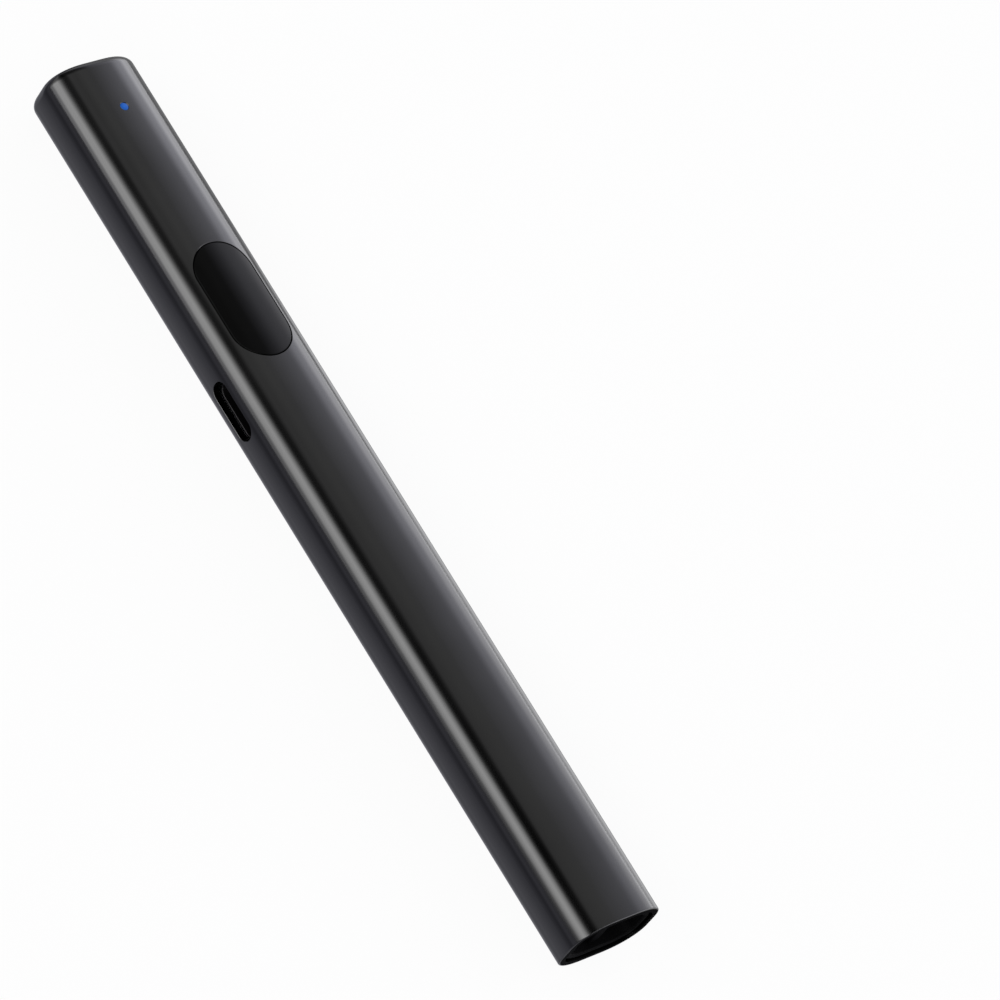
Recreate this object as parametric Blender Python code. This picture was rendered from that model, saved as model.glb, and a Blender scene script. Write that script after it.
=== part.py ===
"""Slim wireless presenter: a black tube with one large button, a charging slot and a receiver in its tail.

Lengths are in metres. +X points to the laser end, +Y to the charging slot and +Z to the button. The origin is
the middle of the underside, and every x, y and z below is counted from it.
"""

import math

import bmesh
import bpy

# Fits
SEAT_GAP = 0.0002
SLIDE_GAP = 0.00015
SOLDER_GAP = 0.0001
OVERRUN = 0.001

# Tube
BODY_LENGTH = 0.140
BODY_WIDTH = 0.015
BODY_HEIGHT = 0.0108
WALL = 0.001
CORNER_WIDTH = 0.006
CORNER_HEIGHT = 0.0044
CORNER_POWER = 2.26
FRONT_ROUNDING = 0.0015
LIP_LAND = 0.0003
LIP_THICKNESS = 0.001
REAR_BREAK = 0.00012

# Button and its switch
BUTTON_FROM_FRONT = 0.0407
BUTTON_OPENING_LENGTH = 0.0186
BUTTON_SIDE_MARGIN = 0.0028
BUTTON_EDGE_ROUNDING = 0.0002
BUTTON_SKIN = 0.0009
BUTTON_FLANGE_WIDTH = 0.0006
BUTTON_FLANGE_EDGE = 0.0005
BUTTON_RIM_WIDTH = 0.0009
BUTTON_TRAVEL = 0.0004
BUTTON_STEM_WIDTH = 0.0026
BUTTON_STEM_CORNER = 0.00065
BUTTON_CROWN_SHARES = (0.25, 0.5, 0.75, 0.93)
GUIDE_PIN_DIAMETER = 0.0012
GUIDE_PIN_SPACING = 0.0100
GUIDE_PIN_ENGAGEMENT = 0.0004
BRACKET_LENGTH = 0.0152
BRACKET_SIDE_MARGIN = 0.0011
BRACKET_THICKNESS = 0.0006
BRACKET_LEG_LENGTH = 0.0013
BRACKET_LEG_WIDTH = 0.0012
BRACKET_LEG_CORNER = 0.0003
BRACKET_PEG_DIAMETER = 0.0008
SWITCH_WIDTH = 0.0052
SWITCH_HEIGHT = 0.0018
SWITCH_CORNER = 0.0005
SWITCH_FLOOR = 0.0004
SWITCH_WELL_DIAMETER = 0.0040
SWITCH_COVER_THICKNESS = 0.00025
SWITCH_COVER_HOLE_DIAMETER = 0.0025
DOME_DIAMETER = 0.0037
DOME_HEIGHT = 0.0005
DOME_THICKNESS = 0.00012
PLUNGER_DIAMETER = 0.0021
PLUNGER_FLANGE_DIAMETER = 0.0032
PLUNGER_FLANGE_THICKNESS = 0.0004
PLUNGER_PROUD = 0.0008

# Charging port
PORT_FROM_FRONT = 0.0536
PORT_SLOT_LENGTH = 0.0092
PORT_SLOT_HEIGHT = 0.0032
PORT_SHELL_WIDTH = 0.00894
PORT_SHELL_HEIGHT = 0.00316
PORT_SHELL_CORNER = 0.0015
PORT_TO_CHARGER = 0.00106
PORT_SHELL_WALL = 0.0003
PORT_BLOCK_DEPTH = 0.0024
PORT_TONGUE_WIDTH = 0.0067
PORT_TONGUE_THICKNESS = 0.0007
PORT_TONGUE_SETBACK = 0.0009
PORT_LEG_WIDTH = 0.0011
PORT_LEG_FROM_MOUTH = 0.0018
PORT_LEG_FROM_BACK = 0.0021

# Main board and what is soldered to it
BOARD_BEHIND_PORT = 0.01043
BOARD_SIDE_GAP = 0.002
BOARD_THICKNESS = 0.0008
BOARD_CORNER = 0.0008
BOARD_FROM_FRONT = 0.0165
RADIO_WIDTH = 0.005
RADIO_HEIGHT = 0.00085
RADIO_FROM_BUTTON = 0.0117
RADIO_OFFSET = 0.0015
CRYSTAL_LENGTH = 0.0032
CRYSTAL_WIDTH = 0.0025
CRYSTAL_HEIGHT = 0.0007
CHARGER_WIDTH = 0.003
CHARGER_HEIGHT = 0.0008
ANTENNA_LENGTH = 0.0052
ANTENNA_WIDTH = 0.002
ANTENNA_HEIGHT = 0.001
ANTENNA_FROM_BOARD_FRONT = 0.0034
BOARD_EDGE_MARGIN = 0.0004
CHIP_EDGE = 0.0001
CAPACITOR_COUNT = 4
CAPACITOR_LENGTH = 0.0016
CAPACITOR_WIDTH = 0.0008
CAPACITOR_PITCH = 0.0024
CAPACITOR_EDGE = 0.00008

# Moulded frame that carries the board, the cell and the laser
FRAME_WALL = 0.0006
FRAME_TO_BAY = 0.0005
FRAME_FRONT_FROM_FRONT = 0.0072
FRAME_CELL_WALL_ABOVE_AXIS = 0.0012
FRAME_CRADLE_BELOW_AXIS = 0.0010
FRAME_LEDGE_WIDTH = 0.0015
FRAME_RIB_THICKNESS = 0.0008
FRAME_RIB_COUNT = 4
FRAME_END_WALL = 0.0008
CRADLE_LENGTH = 0.0036
CRADLE_FROM_BARREL_REAR = 0.0020
BOSS_DIAMETER = 0.0032
SCREW_DIAMETER = 0.0014
SCREW_CLEARANCE = 0.00015
SCREW_TIP_ABOVE_FRAME = 0.00062
SCREW_HEAD_DIAMETER = 0.0024
SCREW_HEAD_HEIGHT = 0.0006
SCREW_SLOT_WIDTH = 0.00035
SCREW_SLOT_LENGTH = 0.0015
SCREW_SLOT_DEPTH = 0.0003
REAR_SCREW_FROM_BOARD_REAR = 0.0065
FRONT_SCREW_FROM_BOARD_FRONT = 0.0075

# Cell
CELL_SIDE_GAP = 0.00045
CELL_CORNER_SHARE = 11 / 30
CELL_END_ROUNDING = 0.0004
TERRACE_LENGTH = 0.0022
TERRACE_SIDE_STEP = 0.00065
TERRACE_THICKNESS = 0.0006
GUARD_BOARD_LENGTH = 0.0019
GUARD_BOARD_THICKNESS = 0.0008
FOAM_SPACE = 0.0018
FOAM_END_MARGIN = 0.0056
FOAM_SIDE_MARGIN = 0.00125
CELL_LEAD_RUN = 0.0044
CELL_LEAD_DIAMETER = 0.0009
CELL_LEAD_SPACING = 0.0032
CELL_LEAD_LANDING = 0.0030
CELL_LEAD_STRAIGHT = 0.0008

# Laser
BARREL_DIAMETER = 0.0052
BARREL_LENGTH = 0.0108
BARREL_DIODE_BORE = 0.0040
BARREL_DIODE_BORE_DEPTH = 0.0017
BARREL_CAP_BORE = 0.0033
BARREL_LENS_BORE = 0.0043
BARREL_LENS_BORE_DEPTH = 0.0046
LENS_DIAMETER = 0.0040
LENS_EDGE = 0.0010
LENS_BULGE = 0.0007
RETAINER_BORE = 0.0025
RETAINER_LENGTH = 0.0012
DIODE_FLANGE_DIAMETER = 0.0038
DIODE_FLANGE_LENGTH = 0.0010
DIODE_CAP_DIAMETER = 0.0030
DIODE_CAP_LENGTH = 0.0022
DIODE_RECESS = 0.0004
DIODE_PIN_DIAMETER = 0.00045
DIODE_PIN_CIRCLE = 0.0020
DIODE_PIN_COUNT = 3
DRIVER_DIAMETER = 0.0048
DRIVER_THICKNESS = 0.0008
LASER_LEAD_DIAMETER = 0.0007
LASER_LEAD_SPACING = 0.0028
LASER_LEAD_LANDING = 0.0016
LASER_LEAD_STRAIGHT = 0.0002

# Front plug and window
PLUG_THICKNESS = 0.0025
PLUG_FACE_SETBACK = 0.0003
PLUG_APERTURE = 0.0026
COLLAR_LENGTH = 0.0028
COLLAR_WALL = 0.0007
WINDOW_DIAMETER = 0.0042
WINDOW_THICKNESS = 0.0006
WINDOW_SETBACK = 0.0001

# Status light
LIGHT_FROM_FRONT = 0.0084
LIGHT_DIAMETER = 0.00105
LIGHT_HOLE_GAP = 0.0001
LIGHT_FLANGE_DIAMETER = 0.0020
LIGHT_FLANGE_THICKNESS = 0.0005
LED_LENGTH = 0.0016
LED_WIDTH = 0.0008
LED_HEIGHT = 0.0005
FLEX_WIDTH = 0.0024
FLEX_THICKNESS = 0.00015
FLEX_FOOT_LENGTH = 0.0022
FLEX_BEND = 0.0006
FLEX_PAST_LED = 0.0011
FLEX_FOOT_FROM_BOARD_FRONT = 0.0053

# Tail bay and the receiver stored in it
BAY_BACK = 0.0020
BAY_SHELF_SIDE = 0.0019
MAGNET_WIDTH = 0.0060
MAGNET_HEIGHT = 0.0030
MAGNET_THICKNESS = 0.0012
RECEIVER_SETBACK = 0.0003
RECEIVER_SLIDE_GAP = 0.0002
GRIP_LENGTH = 0.0075
GRIP_CUP_DEPTH = 0.0030
GRIP_CUP_WALL = 0.0009
GRIP_EDGE = 0.00025
PULL_BAR_WIDTH = 0.0016
PULL_BAR_THICKNESS = 0.0012
PULL_BAR_SETBACK = 0.0009
GRIP_POCKET_DEPTH = 0.0037
GRIP_POCKET_SIDE_GAP = 0.00025
GRIP_POCKET_HEIGHT = 0.0030
PLUG_SIDE_GAP = 0.0005
PLUG_SHELL_HEIGHT_SHARE = 5 / 12
PLUG_SHELL_LENGTH = 0.0120
PLUG_SHELL_WALL = 0.0003
PLUG_SHELL_CORNER = 0.0006
PLUG_WINDOW_LENGTH = 0.0021
PLUG_WINDOW_WIDTH = 0.0023
PLUG_WINDOW_FROM_TIP = 0.0058
PLUG_WINDOW_SPACING = 0.0056
RECEIVER_BOARD_SIDE_GAP = 0.0004
RECEIVER_BOARD_THICKNESS = 0.0008
RECEIVER_BOARD_SETBACK = 0.0006
CARRIER_TOP_BELOW_AXIS = 0.00065
CARRIER_SETBACK = 0.0004
RECEIVER_CHIP_LENGTH = 0.0028
RECEIVER_CHIP_WIDTH = 0.0040
RECEIVER_CHIP_HEIGHT = 0.0008

# Fineness of the curves
CORNER_STEPS = 10
ROUNDING_STEPS = 5
BUTTON_END_STEPS = 14
SMALL_ROUND_STEPS = 24
PIN_ROUND_STEPS = 12
FINE_CORNER_STEPS = 4
PLAIN_CORNER_STEPS = 2
LEAD_POINTS = 14
LEAD_ROUND_STEPS = 2
SMOOTH_ANGLE = math.radians(32)

# Places that several pieces share
FRONT_X = BODY_LENGTH / 2
REAR_X = -BODY_LENGTH / 2
AXIS_Z = BODY_HEIGHT / 2
BUTTON_X = FRONT_X - BUTTON_FROM_FRONT
BUTTON_OPENING_WIDTH = BODY_WIDTH - 2 * BUTTON_SIDE_MARGIN
PORT_X = FRONT_X - PORT_FROM_FRONT
LIGHT_X = FRONT_X - LIGHT_FROM_FRONT
INNER_INSET = WALL + SEAT_GAP
BOARD_TOP = AXIS_Z - PORT_SHELL_HEIGHT / 2 - SOLDER_GAP
BOARD_BOTTOM = BOARD_TOP - BOARD_THICKNESS
BOARD_FRONT = FRONT_X - BOARD_FROM_FRONT
BOARD_REAR = PORT_X - PORT_SHELL_WIDTH / 2 - BOARD_BEHIND_PORT
BOARD_WIDTH = BODY_WIDTH - 2 * BOARD_SIDE_GAP
PARTS_Z = BOARD_TOP + SOLDER_GAP
LEDGE_TOP = BOARD_BOTTOM - SEAT_GAP
FRAME_BOTTOM = INNER_INSET
FRAME_FLOOR_TOP = FRAME_BOTTOM + FRAME_WALL
FRAME_FRONT = FRONT_X - FRAME_FRONT_FROM_FRONT
PLUG_SHOULDER = FRONT_X - LIP_THICKNESS - SEAT_GAP
PLUG_REAR = PLUG_SHOULDER - PLUG_THICKNESS
PLUG_FACE = FRONT_X - PLUG_FACE_SETBACK
BARREL_FRONT = PLUG_REAR - SEAT_GAP
BARREL_REAR = BARREL_FRONT - BARREL_LENGTH
DRIVER_FRONT = BARREL_REAR - SEAT_GAP
DRIVER_REAR = DRIVER_FRONT - DRIVER_THICKNESS
SWITCH_TOP = PARTS_Z + SWITCH_HEIGHT
SWITCH_WELL_FLOOR = PARTS_Z + SWITCH_FLOOR
DOME_BOTTOM = SWITCH_WELL_FLOOR + SOLDER_GAP
DOME_TOP = DOME_BOTTOM + DOME_HEIGHT
PLUNGER_BOTTOM = DOME_TOP + SOLDER_GAP
COVER_BOTTOM = SWITCH_TOP + SOLDER_GAP
COVER_TOP = COVER_BOTTOM + SWITCH_COVER_THICKNESS
PLUNGER_TOP = COVER_TOP + PLUNGER_PROUD
GRIP_REAR = REAR_X + RECEIVER_SETBACK
GRIP_FRONT = GRIP_REAR + GRIP_LENGTH
GRIP_INSET = WALL + RECEIVER_SLIDE_GAP
SHELL_REAR = GRIP_FRONT + SEAT_GAP
SHELL_TIP = SHELL_REAR + PLUG_SHELL_LENGTH
PLUG_SHELL_WIDTH = BODY_WIDTH - 2 * (WALL + PLUG_SIDE_GAP)
PLUG_SHELL_HEIGHT = BODY_HEIGHT * PLUG_SHELL_HEIGHT_SHARE
BAY_REAR = GRIP_FRONT + SEAT_GAP
BAY_BACK_REAR = SHELL_TIP + SEAT_GAP
BAY_FRONT = BAY_BACK_REAR + BAY_BACK
CARRIER_BOTTOM = AXIS_Z - PLUG_SHELL_HEIGHT / 2 + PLUG_SHELL_WALL + SOLDER_GAP
CARRIER_TOP = AXIS_Z - CARRIER_TOP_BELOW_AXIS
RECEIVER_BOARD_WIDTH = PLUG_SHELL_WIDTH - 2 * (PLUG_SHELL_WALL + RECEIVER_BOARD_SIDE_GAP)
RECEIVER_BOARD_BOTTOM = CARRIER_TOP + SOLDER_GAP
RECEIVER_BOARD_TOP = RECEIVER_BOARD_BOTTOM + RECEIVER_BOARD_THICKNESS
FRAME_REAR = BAY_FRONT + FRAME_TO_BAY
CELL_REAR = FRAME_REAR + FRAME_END_WALL + SEAT_GAP
GUARD_FRONT = BOARD_REAR - CELL_LEAD_RUN
CELL_FRONT = GUARD_FRONT - TERRACE_LENGTH
CELL_WIDTH = BODY_WIDTH - 2 * (INNER_INSET + FRAME_WALL + CELL_SIDE_GAP)
CELL_BOTTOM = FRAME_FLOOR_TOP + SEAT_GAP
CELL_TOP = BODY_HEIGHT - WALL - FOAM_SPACE
CELL_THICKNESS = CELL_TOP - CELL_BOTTOM
CELL_CORNER = CELL_THICKNESS * CELL_CORNER_SHARE
CELL_Z = (CELL_TOP + CELL_BOTTOM) / 2

# Colour, roughness and metallic share of each finish
FINISH_SHARES = {
    "black_anodised": ((0.035, 0.035, 0.038), 0.34, 0.9),
    "gloss_black_plastic": ((0.008, 0.008, 0.009), 0.16, 0.0),
    "matte_black_plastic": ((0.020, 0.020, 0.021), 0.55, 0.0),
    "blue_light_guide": ((0.02, 0.13, 0.55), 0.20, 0.0),
    "clear_optic": ((0.90, 0.93, 0.92), 0.05, 0.0),
    "stamped_steel": ((0.55, 0.55, 0.56), 0.30, 1.0),
    "nickel_plated_brass": ((0.72, 0.68, 0.58), 0.28, 1.0),
    "gold_plating": ((0.83, 0.63, 0.30), 0.25, 1.0),
    "black_board": ((0.012, 0.014, 0.013), 0.42, 0.0),
    "chip_resin": ((0.022, 0.022, 0.024), 0.50, 0.0),
    "ceramic": ((0.62, 0.55, 0.44), 0.45, 0.0),
    "white_ceramic": ((0.80, 0.79, 0.74), 0.40, 0.0),
    "frame_plastic": ((0.10, 0.10, 0.11), 0.50, 0.0),
    "aluminium_pouch": ((0.70, 0.71, 0.73), 0.32, 0.9),
    "polyimide_film": ((0.55, 0.26, 0.05), 0.35, 0.0),
    "grey_foam": ((0.16, 0.16, 0.17), 0.95, 0.0),
    "red_insulation": ((0.55, 0.03, 0.02), 0.45, 0.0),
    "black_insulation": ((0.018, 0.018, 0.018), 0.45, 0.0),
    "magnet_nickel": ((0.66, 0.65, 0.62), 0.22, 1.0),
}


def clear_scene():
    """Removes every object, so that only this model is left."""
    for obj in list(bpy.data.objects):
        bpy.data.objects.remove(obj, do_unlink=True)


def finish(name):
    """The material of this name, made on first use."""
    found = bpy.data.materials.get(name)
    if found:
        return found
    colour, roughness, metallic = FINISH_SHARES[name]
    material = bpy.data.materials.new(name)
    material.use_nodes = True
    shader = material.node_tree.nodes["Principled BSDF"]
    shader.inputs["Base Color"].default_value = (*colour, 1)
    shader.inputs["Roughness"].default_value = roughness
    shader.inputs["Metallic"].default_value = metallic
    return material


def group(name, place):
    """An empty that carries the pieces of one moving body, at the joint's axis."""
    empty = bpy.data.objects.new(name, None)
    empty.location = place
    bpy.context.scene.collection.objects.link(empty)
    return empty


def add_object(name, shape, place=(0, 0, 0)):
    """Links an object for a bmesh drawn in world coordinates, with its own origin at place."""
    bmesh.ops.recalc_face_normals(shape, faces=shape.faces)
    bmesh.ops.translate(shape, verts=shape.verts, vec=[-value for value in place])
    mesh = bpy.data.meshes.new(name)
    shape.to_mesh(mesh)
    shape.free()
    obj = bpy.data.objects.new(name, mesh)
    obj.location = place
    bpy.context.scene.collection.objects.link(obj)
    return obj


def apply_modifiers(obj):
    """Replaces the mesh by the modified one, and removes the hidden tools that shaped it."""
    tools = [modifier.object for modifier in obj.modifiers if modifier.type == "BOOLEAN"]
    graph = bpy.context.evaluated_depsgraph_get()
    mesh = bpy.data.meshes.new_from_object(obj.evaluated_get(graph))
    obj.modifiers.clear()
    obj.data = mesh
    mesh.name = obj.name
    for tool in tools:
        bpy.data.objects.remove(tool, do_unlink=True)


def settle(obj, finish_name, carrier):
    """Finishes a piece: applied modifiers, smooth shading up to sharp edges, material and carrying empty."""
    if obj.modifiers:
        apply_modifiers(obj)
    if obj.type == "MESH":
        obj.data.shade_smooth()
        obj.data.set_sharp_from_angle(angle=SMOOTH_ANGLE)
    obj.data.materials.clear()
    obj.data.materials.append(finish(finish_name))
    obj.parent = carrier
    for axis in range(3):
        obj.location[axis] -= carrier.location[axis]
    return obj


def combine(obj, tool, operation):
    """Adds a Boolean with a hidden tool object."""
    tool.hide_render = True
    tool.display_type = "WIRE"
    modifier = obj.modifiers.new(tool.name, "BOOLEAN")
    modifier.operation = operation
    modifier.solver = "EXACT"
    modifier.object = tool


def cut(obj, tool):
    combine(obj, tool, "DIFFERENCE")


def fuse(obj, tool):
    combine(obj, tool, "UNION")


def soften(obj, width, segments=1):
    """Breaks the sharp edges of a piece."""
    modifier = obj.modifiers.new("edge_break", "BEVEL")
    modifier.width = width
    modifier.segments = segments
    modifier.limit_method = "ANGLE"
    modifier.angle_limit = SMOOTH_ANGLE


def loft(rings, closed=False):
    """A bmesh skin over rings of equal point counts, closed into a tube wall or capped at both ends."""
    shape = bmesh.new()
    rows = [[shape.verts.new(point) for point in ring] for ring in rings]
    spans = list(zip(rows, rows[1:]))
    if closed:
        spans.append((rows[-1], rows[0]))
    for near, far in spans:
        for index in range(len(near)):
            after = (index + 1) % len(near)
            shape.faces.new((near[index], near[after], far[after], far[index]))
    if not closed:
        shape.faces.new(rows[0])
        shape.faces.new(rows[-1])
    return shape


def lift(outline, axis, along, centre=(0, 0, 0)):
    """Places a flat outline along an axis. X takes (y, z) points, Y takes (x, z) and Z takes (x, y)."""
    x, y, z = centre
    if axis == "X":
        return [(x + along, y + a, z + b) for a, b in outline]
    if axis == "Y":
        return [(x + a, y + along, z + b) for a, b in outline]
    return [(x + a, y + b, z + along) for a, b in outline]


def prism(name, outline, axis, low, high, centre=(0, 0, 0)):
    """An outline drawn out straight between two heights along an axis."""
    rings = [lift(outline, axis, along, centre) for along in (low, high)]
    middle = list(centre)
    middle["XYZ".index(axis)] += (low + high) / 2
    return add_object(name, loft(rings), middle)


def turned(name, profile, axis, centre, steps=SMALL_ROUND_STEPS, closed=False):
    """A turned piece from (along, radius) points, closed into a ring or capped at both ends."""
    rings = [lift(circle(radius, steps), axis, along, centre) for along, radius in profile]
    return add_object(name, loft(rings, closed), centre)


def block(name, low, high):
    """A plain block between two corners."""
    centre = [(a + b) / 2 for a, b in zip(low, high)]
    outline = rectangle(high[0] - low[0], high[1] - low[1])
    half = (high[2] - low[2]) / 2
    return prism(name, outline, "Z", -half, half, centre)


def rectangle(width, height):
    half_w, half_h = width / 2, height / 2
    return [(-half_w, -half_h), (half_w, -half_h), (half_w, half_h), (-half_w, half_h)]


def circle(radius, steps=SMALL_ROUND_STEPS):
    turns = [math.tau * step / steps for step in range(steps)]
    return [(radius * math.cos(turn), radius * math.sin(turn)) for turn in turns]


def rounded_rectangle(width, height, radius, steps=FINE_CORNER_STEPS):
    points = []
    for quarter, (side_a, side_b) in enumerate(((1, 1), (-1, 1), (-1, -1), (1, -1))):
        centre_a = side_a * (width / 2 - radius)
        centre_b = side_b * (height / 2 - radius)
        for step in range(steps + 1):
            turn = (quarter + step / steps) * math.pi / 2
            points.append((centre_a + radius * math.cos(turn), centre_b + radius * math.sin(turn)))
    return points


def stadium(length, width, steps=BUTTON_END_STEPS):
    """Two half circles joined by straight sides, its length along the first coordinate."""
    radius = width / 2
    reach = (length - width) / 2
    points = []
    for side in (1, -1):
        for step in range(steps + 1):
            turn = math.pi * step / steps
            points.append((side * (reach + radius * math.sin(turn)), -side * radius * math.cos(turn)))
    return points


def section(inset):
    """The tube's section drawn in by inset: flats joined by superelliptic corners, as (y, z) points."""
    half_w = BODY_WIDTH / 2 - inset
    half_h = BODY_HEIGHT / 2 - inset
    corner_w = CORNER_WIDTH - inset
    corner_h = CORNER_HEIGHT - inset
    points = []
    for quarter, (side_y, side_z) in enumerate(((1, 1), (-1, 1), (-1, -1), (1, -1))):
        for step in range(CORNER_STEPS + 1):
            turn = step / CORNER_STEPS * math.pi / 2
            if quarter % 2:
                turn = math.pi / 2 - turn
            reach_y = abs(math.cos(turn)) ** (2 / CORNER_POWER)
            reach_z = abs(math.sin(turn)) ** (2 / CORNER_POWER)
            y = side_y * (half_w - corner_w + corner_w * reach_y)
            z = AXIS_Z + side_z * (half_h - corner_h + corner_h * reach_z)
            points.append((y, z))
    return points


def roof(y, inset):
    """Height of the section's upper side at y, for the section drawn in by inset."""
    corner_w = CORNER_WIDTH - inset
    corner_h = CORNER_HEIGHT - inset
    over = max(0, abs(y) - (BODY_WIDTH / 2 - CORNER_WIDTH)) / corner_w
    drop = corner_h * (1 - (1 - min(over, 1) ** CORNER_POWER) ** (1 / CORNER_POWER))
    return BODY_HEIGHT - inset - drop


def build_body_tube(carrier):
    """The extruded tube: front end rolled in to a lip, with its three openings cut through the wall."""
    stations = [(REAR_X, REAR_BREAK), (REAR_X + REAR_BREAK, 0)]
    for step in range(ROUNDING_STEPS + 1):
        turn = step / ROUNDING_STEPS * math.pi / 2
        x = FRONT_X - FRONT_ROUNDING + FRONT_ROUNDING * math.sin(turn)
        stations.append((x, FRONT_ROUNDING * (1 - math.cos(turn))))
    lip_inset = FRONT_ROUNDING + LIP_LAND
    stations += [(FRONT_X, lip_inset), (FRONT_X - LIP_THICKNESS, lip_inset)]
    stations += [(FRONT_X - LIP_THICKNESS, WALL), (REAR_X, WALL)]
    rings = [lift(section(inset), "X", x) for x, inset in stations]
    tube = add_object("body_tube", loft(rings, closed=True))
    opening = stadium(BUTTON_OPENING_LENGTH, BUTTON_OPENING_WIDTH)
    top = BODY_HEIGHT + OVERRUN
    cut(tube, prism("button_opening", opening, "Z", AXIS_Z, top, (BUTTON_X, 0, 0)))
    hole = circle(LIGHT_DIAMETER / 2 + LIGHT_HOLE_GAP)
    cut(tube, prism("light_hole", hole, "Z", AXIS_Z, top, (LIGHT_X, 0, 0)))
    slot = stadium(PORT_SLOT_LENGTH, PORT_SLOT_HEIGHT)
    side = BODY_WIDTH / 2 + OVERRUN
    cut(tube, prism("port_slot", slot, "Y", 0, side, (PORT_X, 0, AXIS_Z)))
    return settle(tube, "black_anodised", carrier)


def build_nose_plug(carrier):
    """The front plug: a shouldered plate behind the lip, with aperture, window seat and collar."""
    face_inset = FRONT_ROUNDING + LIP_LAND + SEAT_GAP
    stations = [(PLUG_REAR, INNER_INSET), (PLUG_SHOULDER, INNER_INSET)]
    stations += [(PLUG_SHOULDER, face_inset), (PLUG_FACE, face_inset)]
    plug = add_object("nose_plug", loft([lift(section(inset), "X", x) for x, inset in stations]))
    axis = (0, 0, AXIS_Z)
    collar_bore = BARREL_DIAMETER / 2 + SLIDE_GAP
    collar_rear = PLUG_REAR - COLLAR_LENGTH
    collar = circle(collar_bore + COLLAR_WALL)
    fuse(plug, prism("collar", collar, "X", collar_rear, PLUG_REAR + SEAT_GAP, axis))
    cut(plug, prism("collar_bore", circle(collar_bore), "X", collar_rear - OVERRUN, PLUG_REAR, axis))
    cut(plug, prism("aperture", circle(PLUG_APERTURE / 2), "X", PLUG_REAR - OVERRUN, FRONT_X, axis))
    seat = PLUG_FACE - WINDOW_SETBACK - WINDOW_THICKNESS - SEAT_GAP
    seat_hole = circle(WINDOW_DIAMETER / 2 + SOLDER_GAP)
    cut(plug, prism("window_seat", seat_hole, "X", seat, FRONT_X, axis))
    return settle(plug, "matte_black_plastic", carrier)


def build_laser_window(carrier):
    """The clear disc in the front plug."""
    front = PLUG_FACE - WINDOW_SETBACK
    disc = circle(WINDOW_DIAMETER / 2)
    window = prism("laser_window", disc, "X", front - WINDOW_THICKNESS, front, (0, 0, AXIS_Z))
    return settle(window, "clear_optic", carrier)


def build_laser(carrier):
    """The laser module: barrel, diode, lens, retainer ring and driver board."""
    axis = (0, 0, AXIS_Z)
    outer = BARREL_DIAMETER / 2
    diode_seat = BARREL_REAR + BARREL_DIODE_BORE_DEPTH
    lens_seat = BARREL_FRONT - BARREL_LENS_BORE_DEPTH
    profile = [
        (BARREL_REAR, outer),
        (BARREL_FRONT, outer),
        (BARREL_FRONT, BARREL_LENS_BORE / 2),
        (lens_seat, BARREL_LENS_BORE / 2),
        (lens_seat, BARREL_CAP_BORE / 2),
        (diode_seat, BARREL_CAP_BORE / 2),
        (diode_seat, BARREL_DIODE_BORE / 2),
        (BARREL_REAR, BARREL_DIODE_BORE / 2),
    ]
    settle(turned("laser_barrel", profile, "X", axis, closed=True), "nickel_plated_brass", carrier)

    lens_rear = lens_seat + SOLDER_GAP
    lens_profile = [(lens_rear, LENS_DIAMETER / 2), (lens_rear + LENS_EDGE, LENS_DIAMETER / 2)]
    for step in range(1, ROUNDING_STEPS):
        turn = step / ROUNDING_STEPS * math.pi / 2
        along = lens_rear + LENS_EDGE + LENS_BULGE * math.sin(turn)
        lens_profile.append((along, LENS_DIAMETER / 2 * math.cos(turn)))
    settle(turned("collimating_lens", lens_profile, "X", axis), "clear_optic", carrier)

    ring_rear = lens_rear + LENS_EDGE + LENS_BULGE + SOLDER_GAP
    ring_outer = BARREL_LENS_BORE / 2 - SOLDER_GAP
    ring_front = ring_rear + RETAINER_LENGTH
    ring_profile = [
        (ring_rear, ring_outer),
        (ring_front, ring_outer),
        (ring_front, RETAINER_BORE / 2),
        (ring_rear, RETAINER_BORE / 2),
    ]
    settle(turned("lens_retainer_ring", ring_profile, "X", axis, closed=True), "nickel_plated_brass", carrier)

    flange_rear = BARREL_REAR + DIODE_RECESS
    cap_rear = flange_rear + DIODE_FLANGE_LENGTH
    cap_front = cap_rear + DIODE_CAP_LENGTH
    diode_profile = [
        (flange_rear, DIODE_FLANGE_DIAMETER / 2),
        (cap_rear, DIODE_FLANGE_DIAMETER / 2),
        (cap_rear, DIODE_CAP_DIAMETER / 2),
        (cap_front, DIODE_CAP_DIAMETER / 2),
    ]
    diode = turned("laser_diode", diode_profile, "X", axis)
    for pin in range(DIODE_PIN_COUNT):
        turn = math.tau * pin / DIODE_PIN_COUNT
        centre = (0, DIODE_PIN_CIRCLE / 2 * math.sin(turn), AXIS_Z + DIODE_PIN_CIRCLE / 2 * math.cos(turn))
        outline = circle(DIODE_PIN_DIAMETER / 2, FINE_CORNER_STEPS * 2)
        pin_rear = DRIVER_FRONT + SOLDER_GAP
        pin_front = cap_rear - DIODE_FLANGE_LENGTH / 2
        fuse(diode, prism(f"diode_pin_{pin + 1}", outline, "X", pin_rear, pin_front, centre))
    settle(diode, "gold_plating", carrier)

    disc = circle(DRIVER_DIAMETER / 2)
    settle(prism("laser_driver_board", disc, "X", DRIVER_REAR, DRIVER_FRONT, axis), "black_board", carrier)


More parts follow.
